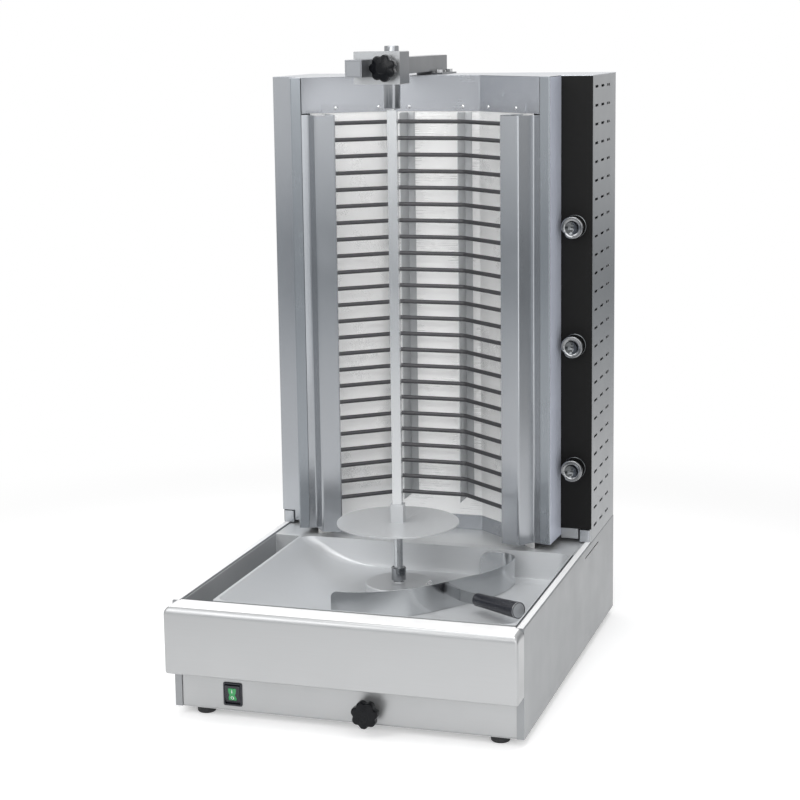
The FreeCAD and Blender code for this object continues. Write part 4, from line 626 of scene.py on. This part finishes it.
# %% Place the star knobs
STUD_RADIUS = 3.6
STUD_COLUMNS = 24
THREAD_HEIGHT = 0.4
THREAD_STEP = 0.5  # half of a 1 mm pitch: from a root to the next crest
for node, joint, turn in (("lower_star_knob", "lower_lock_turn", 0.15),
                          ("upper_star_knob", "upper_lock_turn", 0.42)):
    low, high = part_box(node)
    centre = joints[joint]["pos_m"]
    seat = low.y + (HUB_LENGTH + KNOB_THICK) * MM
    origin = (centre[0], seat, centre[2])
    knob = grid_mesh(node + "_moulding", stand(star_points(turn), (0, -1, 0), origin), phenolic)
    ride_with(knob, node, node)
    length = (high.y - seat) / MM
    ridges = np.arange(0, length, THREAD_STEP)
    thread = np.stack([STUD_RADIUS + THREAD_HEIGHT * (np.arange(len(ridges)) % 2), -ridges], -1)
    points = stand(lathe(thread[::-1], STUD_COLUMNS), (0, -1, 0), origin)
    stud = grid_mesh(node + "_stud", points, zinc, math.pi)
    ride_with(stud, node)
    print(node, "at", [round(value, 4) for value in origin], "stud", round(length, 1), "mm")


# %% [markdown]
# ## Zone knobs
# Three chrome-plated knobs: a thin flange at the foot, a slim groove, a nearly straight barrel, and a
# dished face for the fingertip. The profile is turned about its axis as on a lathe. One shallow
# scallop, a bell curve in the angle, marks where the knob points; a cutter would leave a hard edge.

# %% Zone knobs
DIAL_LENGTH = 28.0
DIAL_FOOT = ((16.5, 0.0, 0.0), (18.0, 0.4, 0.0), (18.0, 3.0, 0.0),  # radius, height, share of scallop
             (16.6, 3.4, 0.0), (16.6, 4.6, 0.3), (17.6, 5.4, 0.6), (17.6, 14.0, 1.0))
BARREL_RADIUS = 17.6
RIM_ROUND = 2.0
BOWL_RADIUS = 10.6
BOWL_EDGE = ((11.2, 27.0, 0.0), (10.6, 26.6, 0.0))
BOWL_DEPTH = 5.0
BOWL_TOP = 26.4
SCALLOP = 2.6
SCALLOP_ANGLE = math.radians(215)
SCALLOP_WIDTH = 0.30  # radians
DIAL_COLUMNS = 96


def dial_points():
    """Turned profile of (radius, height, share of scallop): foot, flange, groove, barrel, rim in a
    quarter circle, shallow cone, and a bowl whose depth falls with the square of the radius."""
    bend = np.linspace(0, math.pi / 2, 6)
    rim = DIAL_LENGTH - RIM_ROUND
    rows = [*DIAL_FOOT]
    rows += [(BARREL_RADIUS - RIM_ROUND * (1 - math.cos(a)), rim + RIM_ROUND * math.sin(a), 1.0)
             for a in bend]
    rows += BOWL_EDGE
    rows += [(BOWL_RADIUS * s, BOWL_TOP - BOWL_DEPTH * (1 - s * s), 0.0) for s in np.linspace(0.96, 0.03, 12)]
    radius, height, share = np.array(rows).T
    away = np.angle(np.exp(1j * (once_round(DIAL_COLUMNS) - SCALLOP_ANGLE)))
    bell = SCALLOP * np.exp(-(away / SCALLOP_WIDTH) ** 2)
    return turned(radius[:, None] - share[:, None] * bell, height)


print("dial of", dial_points().shape[:2], "rows and columns")


# %% [markdown]
# ## The zone knobs on their spindles
# Each knob sits on a spindle, a plain rod with a chamfered end. The rows of faces take their finishes
# in three bands: painted shade on the barrel, a painted highlight on the rim and painted shade in the bowl.

# %% Place the zone knobs
BAND_COUNTS = (8, 5, 13)  # rows of faces on the barrel, over the rim and in the bowl
SPINDLE = 3.0
SPINDLE_COLUMNS = 24
CHAMFER = (0.4, 0.5)  # across and along
SUNK = 0.5  # how far the spindle reaches into the knob
for name in ("bottom", "middle", "top"):
    node = "zone_knob_" + name
    low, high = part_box(node)
    x, z = joints["knob_" + name + "_turn"]["pos_m"][0::2]
    seat = low.y + DIAL_LENGTH * MM
    dial = grid_mesh(node + "_plated", stand(dial_points(), (0, -1, 0), (x, seat, z)), plated_barrel_painted_shade)
    dial.data.materials.append(plated_rim_painted_highlight)
    dial.data.materials.append(plated_bowl_painted_shade)
    bands = np.repeat(np.repeat([0, 1, 2], BAND_COUNTS), DIAL_COLUMNS)
    foot_and_bowl = [0, 2]  # the two faces that close the first and the last row
    dial.data.polygons.foreach_set("material_index", np.r_[bands, foot_and_bowl].astype(np.int32))
    ride_with(dial, node, node)
    spindle_length = (high.y - seat) / MM
    tip = SPINDLE - CHAMFER[0]
    profile = [(tip, -spindle_length), (SPINDLE, CHAMFER[1] - spindle_length), (SPINDLE, SUNK), (tip, SUNK)]
    points = stand(lathe(profile, SPINDLE_COLUMNS), (0, -1, 0), (x, seat, z))
    spindle = grid_mesh(node + "_spindle", points, zinc)
    ride_with(spindle, node)
    print(node, "seat at y", round(seat, 4), "spindle", round(spindle_length, 1), "mm")


# %% [markdown]
# ## The lit switch
# A snap-in rocker switch: its nylon frame has rounded corners and a rim that leans in to the rocker.
# A box with a bevel would have the same width of rounding everywhere. Eight rounded rectangles, carried
# from the hidden sleeve out over the rim and back down inside, give each step its own corner.

# %% Switch
RIM_OUT = 2.5  # how far the rim stands out of the front plate
SLEEVE_INSET = 1.4
RIM_INSET = 0.9
OPENING_INSET = (2.7, 2.9)  # outline to the rocker's opening, across and up
low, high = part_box("switch_frame")
plate_y = low.y + RIM_OUT * MM
half_w = (high.x - low.x) / 2 / MM
half_h = (high.z - low.z) / 2 / MM
inner_w = half_w - OPENING_INSET[0]
inner_h = half_h - OPENING_INSET[1]
deep = (high.y - plate_y) / MM
frame_rows = [(half_w - SLEEVE_INSET, half_h - SLEEVE_INSET, 1.0, -deep),
              (half_w - SLEEVE_INSET, half_h - SLEEVE_INSET, 1.0, 0.0),
              (half_w, half_h, 2.6, 0.0), (half_w, half_h, 2.6, 1.3),
              (half_w - RIM_INSET, half_h - RIM_INSET, 2.0, RIM_OUT - 0.1),
              (inner_w + 0.6, inner_h + 0.6, 1.0, RIM_OUT), (inner_w, inner_h, 0.7, 1.9),
              (inner_w, inner_h, 0.7, -deep + 3.0)]
switch_at = ((low.x + high.x) / 2, plate_y, (low.z + high.z) / 2)
bezel = grid_mesh("switch_bezel", stand(ring_stack(frame_rows), (0, -1, 0), switch_at), nylon)
ride_with(bezel, "switch_frame", "switch_frame")
dress("switch_rocker", nylon, 0.5, 3)
print("switch at", [round(value, 4) for value in switch_at])


# %% [markdown]
# ## Lens and marks
# A green lens is let into the rocker, with the two generic marks for on and off printed on it: a bar
# and a ring. The rocker's face is a shallow V, so lens and marks are first made flat, as stacks of
# rings with their height measured from the face, and then folded over the V and tilted with it.

# %% Lens and marks on the rocker
ROCKER_TILT = math.radians(8.0)
LENS_OUT = 0.7
LENS_HALF = (6.3, 9.6)
V_FACE = 3.5  # pivot to the middle of the V
PRINT_THICK = 0.16  # drawn thicker than real ink, so that it stays clear of the lens
MARK_OFFSET = 5.0
RING_COLUMNS = 32


def on_rocker(points):
    """Folds flat points over the rocker's V face and tilts them with it."""
    z = points[..., 1]
    out = V_FACE + points[..., 2] - np.abs(z) * math.tan(ROCKER_TILT)
    flat = np.stack([points[..., 0], -out, z], -1)
    turn = np.array(Matrix.Rotation(ROCKER_TILT, 3, "X"))
    pivot = np.array(joints["rocker_tilt"]["pos_m"])
    return flat @ turn.T * MM + pivot


lens_rows = [(*LENS_HALF, 1.6, -0.6), (*LENS_HALF, 1.6, LENS_OUT - 0.4),
             (LENS_HALF[0] - 0.4, LENS_HALF[1] - 0.4, 1.4, LENS_OUT),
             (LENS_HALF[0] * 0.5, LENS_HALF[1] * 0.5, 1.0, LENS_OUT + 0.1)]
bar = ring_stack([(0.55, 2.4, 0.3, LENS_OUT), (0.55, 2.4, 0.3, LENS_OUT + PRINT_THICK)])
ring = lathe([(2.5, LENS_OUT), (2.5, LENS_OUT + PRINT_THICK), (1.6, LENS_OUT + PRINT_THICK),
              (1.6, LENS_OUT)], RING_COLUMNS)
shift = np.array([0, MARK_OFFSET, 0])
for name, points, finish in (("switch_lens", ring_stack(lens_rows), green_lens),
                             ("switch_mark_on", bar + shift, white_mark),
                             ("switch_mark_off", ring - shift, white_mark)):
    ride_with(grid_mesh(name, on_rocker(points), finish), "switch_rocker")
print("lens", [round(2 * value, 1) for value in LENS_HALF], "mm")


# %% [markdown]
# ## The scoop's grip
# A moulded PVC grip pushed on the tang: slightly thicker towards its end, where it is hollowed and
# carries a thin bright ring. A cone would give the taper, but the hollow end needs a profile, so one is
# turned about the grip's own axis, which is read from the frame's grip.

# %% Grip
GRIP_COLUMNS = 72


def corners_of(mesh):
    """All corners of a mesh as rows of x, y and z."""
    corners = np.empty(3 * len(mesh.vertices))
    mesh.vertices.foreach_get("co", corners)
    return corners.reshape(-1, 3)


def node_axis(node):
    """Centre, long direction and length of a node: the first principal axis of its corners."""
    corners = corners_of(frame["nodes"][node].data)
    centre = (corners.min(0) + corners.max(0)) / 2
    direction = np.linalg.svd(corners - corners.mean(0), full_matrices=False)[2][0]
    reach = (corners - centre) @ direction
    return centre, direction, reach.max() - reach.min()


centre, along, grip_length = node_axis("scoop_handle")
along = along * math.copysign(1, along[0])
length = grip_length / MM
start = centre - along * grip_length / 2
grip_rows = [(8.6, 0.0), (9.6, 0.5), (10.0, 1.5), (10.2, length * 0.25), (11.2, length * 0.6),
             (12.1, length * 0.9), (12.4, length - 3.0), (12.4, length - 0.6), (12.0, length),
             (10.9, length), (10.6, length - 0.5), (10.4, length - 5.0), (2.0, length - 6.0)]
ring_rows = [(12.05, length - 1.0), (12.5, length - 0.9), (12.5, length - 0.3), (12.05, length - 0.1)]
grip = grid_mesh("scoop_grip", stand(lathe(grip_rows, GRIP_COLUMNS), along, start), grip_pvc)
ride_with(grip, "scoop_handle", "scoop_handle")
rim = grid_mesh("scoop_grip_ring", stand(lathe(ring_rows, GRIP_COLUMNS), along, start), screw_steel)
ride_with(rim, "scoop_handle")
print("grip", round(length, 1), "mm long")


# %% [markdown]
# ## Screw heads
# Pan heads with a cross recess. A recess could be cut with a boolean, but on eight heads a formula is
# simpler: the height over the head is a dome, less a cross of two bars that ends short of the rim.

# %% Screws
CROSS_HALF = 0.14  # half a bar's width, as a share of the head's radius
CROSS_REACH = 0.62
CROSS_DEPTH = 0.45  # as a share of the head's height
HEAD_COLUMNS = 48


def screw_points(radius, height, turn):
    """Dome h * (1 - s^3) over the radius share s, with a cross of two bars sunk into it."""
    share = np.r_[1.0, 1.0, np.linspace(0.96, 0.04, 12)]
    angle = once_round(HEAD_COLUMNS)
    x = share[:, None] * np.cos(angle)[None] * radius
    y = share[:, None] * np.sin(angle)[None] * radius
    u = x * math.cos(turn) + y * math.sin(turn)
    v = y * math.cos(turn) - x * math.sin(turn)
    near_bar = np.minimum(np.abs(u), np.abs(v)) < CROSS_HALF * radius
    in_cross = near_bar & (share[:, None] < CROSS_REACH)
    z = height * (1 - share ** 3)[:, None] - np.where(in_cross, CROSS_DEPTH * height, 0.0)
    z[0] = -0.2  # the edge starts under the seat and rises a little
    z[1] = 0.15 * height
    return np.stack([x, y, z], -1)


print("head of", screw_points(3.0, 1.8, 0.0).shape[:2], "rows and columns")


# %% [markdown]
# ## Every screw in its place
# The frame holds all screws of a strip as one node. They are told apart as separate solids, and each
# gets a head on its seat, square to the sheet it sits in.

# %% Place the screws
HEAD_UP = (0.3, 0.2, 1)  # a direction that no screw points in
STRIP_DEPTH = 101.0  # how far back each slanted part of the strip runs
STRIP_RUN = 122.0  # over this much width
STRIP_FLAT = 73.0  # half the width of its flat middle
COVER_AXIS = (0, 0.02, 1)  # upright, but for a lean of about one degree


def solids_of(node):
    """The node's separate solids as arrays of corners. Each corner starts with a label of its own, and
    each triangle gives its lowest label to its corners, until no label changes."""
    mesh = welded(node)
    corners = corners_of(mesh)
    triangles = np.empty(len(mesh.loops), np.int32)
    mesh.loops.foreach_get("vertex_index", triangles)
    triangles = triangles.reshape(-1, 3)
    bpy.data.meshes.remove(mesh)
    label = np.arange(len(corners))
    before = None
    while not np.array_equal(label, before):
        before = label.copy()
        np.minimum.at(label, triangles, before[triangles].min(1)[:, None])
    return [corners[label == lowest] for lowest in np.unique(label)]


def screw_heads(node, radius, height, axis_of):
    """One cross-head on the seat of each solid of the node, each left at another turn; the first one
    replaces the node's plain heads."""
    for i, corners in enumerate(solids_of(node)):
        axis = np.array(axis_of(corners.mean(0)), float)
        middle = (corners.min(0) + corners.max(0)) / 2
        seat = middle + axis * ((corners - middle) @ axis).min()
        points = stand(screw_points(radius, height, 0.5 + i), axis, seat, HEAD_UP)
        head = grid_mesh(f"{node}_head_{i + 1}", points, screw_steel)
        ride_with(head, node, *([node] if i == 0 else []))
    return i + 1


def strip_normal(place):
    """Direction out of the strip: square to its flat middle, or to the slanted part on that side."""
    if abs(place[0]) < STRIP_FLAT * MM:
        return (0, -1, 0)
    slant = math.atan2(STRIP_DEPTH, STRIP_RUN)
    return (-math.copysign(math.sin(slant), place[0]), -math.cos(slant), 0)


print(screw_heads("header_screws", 3.0, 1.8, strip_normal), "strip screws")
print(screw_heads("cover_screws", 2.4, 1.3, lambda place: COVER_AXIS), "cover screws")


# %% [markdown]
# ## Floor and surround
# A pale matte floor in a white surround. Rays that reach the eye straight, in a mirror or through
# glass see plain white there, and all other rays see a dimmer surround, so that the light stays plain
# and the shadows keep their depth. The floor fades into the same white with distance.

# %% Floor
FLOOR_WIDTH = 14.0
FADE = (0.7, 1.6)  # metres from the middle where the floor fades
NEAR_LIFT = 0.30  # glow of the near floor, for the same rays


def seen_rays(tree):
    """1 for camera, glossy and transmission rays, else 0."""
    rays = add(tree, "LightPath").outputs
    seen = add(tree, "Math", {"operation": "MAXIMUM"}, {0: rays["Is Camera Ray"], 1: rays["Is Glossy Ray"]})
    return add(tree, "Math", {"operation": "MAXIMUM"},
               {0: seen.outputs[0], 1: rays["Is Transmission Ray"]}).outputs[0]


def floor_paint(name):
    """Matte white; rays that are seen find it fading into plain white with distance."""
    material, tree, shader = new_material(name, {"Base Color": linear("f4f4f4"), "Roughness": 0.9,
                                                 "Specular IOR Level": 0.1})
    seen = seen_rays(tree)
    place = add(tree, "TexCoord").outputs["Object"]
    distance = add(tree, "VectorMath", {"operation": "LENGTH"}, {0: place})
    away = add(tree, "MapRange", {"interpolation_type": "SMOOTHSTEP", 1: FADE[0], 2: FADE[1], 3: 0.0, 4: 1.0},
               {0: distance.outputs["Value"]})
    lift = add(tree, "MapRange", {1: 0.0, 2: 1.0, 3: NEAR_LIFT, 4: 0.0}, {0: away.outputs[0]})
    lift = add(tree, "Math", {"operation": "MULTIPLY"}, {0: lift.outputs[0], 1: seen})
    glow = add(tree, "Emission", {"Color": (1, 1, 1, 1)}, {"Strength": lift.outputs[0]})
    near = add(tree, "AddShader", {}, {0: shader.outputs[0], 1: glow.outputs[0]})
    white = add(tree, "Emission", {"Color": (1, 1, 1, 1), "Strength": 1.0})
    share = add(tree, "Math", {"operation": "MULTIPLY"}, {0: away.outputs[0], 1: seen})
    total = add(tree, "MixShader", {}, {0: share.outputs[0], 1: near.outputs[0], 2: white.outputs[0]})
    tree.links.new(total.outputs[0], tree.nodes["Material Output"].inputs["Surface"])
    return material


ground = bpy.data.meshes.new("floor")
corners = np.array([(-1, -1, 0), (1, -1, 0), (1, 1, 0), (-1, 1, 0)]) * FLOOR_WIDTH / 2
ground.from_pydata(corners.tolist(), [], [(0, 1, 2, 3)])
ground.materials.append(floor_paint("studio_floor_white"))
into_scene("floor", ground)
print("floor", FLOOR_WIDTH, "m wide")


# %% World
SURROUND_LIGHT = 0.55
scene = bpy.context.scene
scene.world = bpy.data.worlds.new("studio_surround")
scene.world.use_nodes = True
sky = scene.world.node_tree
sky.nodes.clear()
dim = add(sky, "Background", {"Color": linear("ffffff"), "Strength": SURROUND_LIGHT})
white = add(sky, "Background", {"Color": linear("ffffff"), "Strength": 1.0})
mixed = add(sky, "MixShader", {}, {0: seen_rays(sky), 1: dim.outputs[0], 2: white.outputs[0]})
add(sky, "OutputWorld", {}, {"Surface": mixed.outputs[0]})
scene.view_settings.view_transform = "Standard"
print("surround light", SURROUND_LIGHT)


# %% [markdown]
# ## Lamps
# Four large lamps, since small ones would print hard spots on the steel: a key from the upper left, a
# broad one from the front, a weak fill from the right, and one overhead that lights the deck and the
# folds. Each is at least a metre wide, which keeps the shadows soft.

# %% Lamps
def softbox(name, size, place, aim, power):
    """Rectangular area lamp, its width and height in metres, that faces a point."""
    lamp = bpy.data.lights.new(name, "AREA")
    lamp.shape = "RECTANGLE"
    lamp.size, lamp.size_y = size
    lamp.energy = power
    holder = into_scene(name, lamp)
    direction = Vector(aim) - Vector(place)
    holder.matrix_world = Matrix.Translation(place) @ direction.to_track_quat("-Z", "Y").to_matrix().to_4x4()


softbox("key_softbox", (2.4, 2.4), (-2.2, -2.6, 3.0), (0, 0, 0.4), 46)
softbox("front_softbox", (2.4, 1.4), (0.4, -3.6, 1.7), (0, 0, 0.5), 32)
softbox("fill_softbox", (1.0, 1.3), (1.05, -1.2, 0.72), (0, 0, 0.6), 5.5)
softbox("top_softbox", (2.0, 1.6), (0.2, -0.2, 3.0), (0, -0.1, 0.3), 34)
print("lamps", len(bpy.data.lights))


# %% [markdown]
# ## A room for the steel to mirror
# Steel shows what stands round it, and in plain white it would look like paper. A ring of card stands
# round the grill, white with a dark belt a little under half height, and darker on the right. Only
# mirrored rays see it. It gives the uprights their slow changes of tone from bottom to top.

# %% Surround ring
RING_RADIUS = 1.8  # metres, as are the next three
RING_HEIGHT = 0.95
BELT_HEIGHT = 0.40
BELT_WIDTH = 0.20
BELT_DEPTH = 0.68
RIGHT_DEPTH = 0.45
RIGHT_START = 0.1  # cosine of the angle where the right side begins to darken
RIGHT_BLEND = 0.6
COLD_TINT = 0.06


def surround_ring(name, radius, high, across=144, upward=24):
    """Ring whose shade is white, less a bell curve of the height round the belt, times a smooth step of
    the angle's cosine that darkens the right side; the same bell curve tints the belt cold."""
    angle = once_round(across)
    height = np.linspace(0, high, upward)
    belt = np.exp(-((height - BELT_HEIGHT) / BELT_WIDTH) ** 2)
    step = np.clip((np.cos(angle) - RIGHT_START) / RIGHT_BLEND, 0, 1)
    right_side = step * step * (3 - 2 * step)
    shade = (1 - BELT_DEPTH * belt)[:, None] * (1 - RIGHT_DEPTH * right_side)[None]
    tint = COLD_TINT * belt[:, None, None] * np.array([-1, 0, 1])
    colour = np.clip(shade[..., None] * (1 + tint), 0, 1)
    points = turned(np.full((upward, across), radius), height).reshape(-1, 3)
    mesh = bpy.data.meshes.new(name)
    mesh.from_pydata(points.tolist(), [], ring_faces(np.arange(upward * across).reshape(upward, across)))
    shades = mesh.attributes.new("shade", "FLOAT_COLOR", "POINT")
    shades.data.foreach_set("color", np.concatenate([colour, np.ones((upward, across, 1))], -1).ravel())
    material = bpy.data.materials.new(name + "_paper")
    material.use_nodes = True
    tree = material.node_tree
    tree.nodes.clear()
    read = add(tree, "Attribute", {"attribute_name": "shade"})
    paper = add(tree, "Emission", {"Strength": 1.0}, {"Color": read.outputs["Color"]})
    add(tree, "OutputMaterial", {}, {"Surface": paper.outputs[0]})
    mesh.materials.append(material)
    card = into_scene(name, mesh)
    card.visible_camera = False
    card.visible_diffuse = False
    card.visible_shadow = False
    card.visible_transmission = False


surround_ring("surround_ring", RING_RADIUS, RING_HEIGHT)
print("ring", RING_HEIGHT, "m high round the grill")


# %% [markdown]
# ## Camera
# A long lens from three metres away, so that the uprights stay nearly parallel. It looks slightly down
# and from the right, and its frame is shifted, as on a view camera, to place the grill in the middle.

# %% Camera
FOCAL_PIXELS = 1883.3
FRAME_PIXELS = 800
AXIS_ROW = 350  # the row of pixels where the lens's axis meets the picture
SENSOR = 36.0
YAW = math.radians(17.464)
PITCH = math.radians(9.664)
ROLL = math.radians(-0.765)
EYE = (0.8577, -2.7510, 0.9951)
forward = Vector((-math.sin(YAW) * math.cos(PITCH), math.cos(YAW) * math.cos(PITCH), -math.sin(PITCH)))
right = Vector((math.cos(YAW), math.sin(YAW), 0))
up = right.cross(forward)
rolled_right = right * math.cos(ROLL) + up * math.sin(ROLL)
rolled_up = up * math.cos(ROLL) - right * math.sin(ROLL)
lens_data = bpy.data.cameras.new("studio_camera")
lens_data.sensor_width = SENSOR
lens_data.lens = FOCAL_PIXELS / FRAME_PIXELS * SENSOR
lens_data.shift_y = (AXIS_ROW - FRAME_PIXELS / 2) / FRAME_PIXELS
lens_data.clip_end = 50
camera = into_scene("studio_camera", lens_data)
turn = Matrix((rolled_right, rolled_up, -forward)).transposed().to_4x4()
camera.matrix_world = Matrix.Translation(EYE) @ turn
scene.camera = camera
print("lens", round(lens_data.lens, 2), "mm, shift", round(lens_data.shift_y, 4))
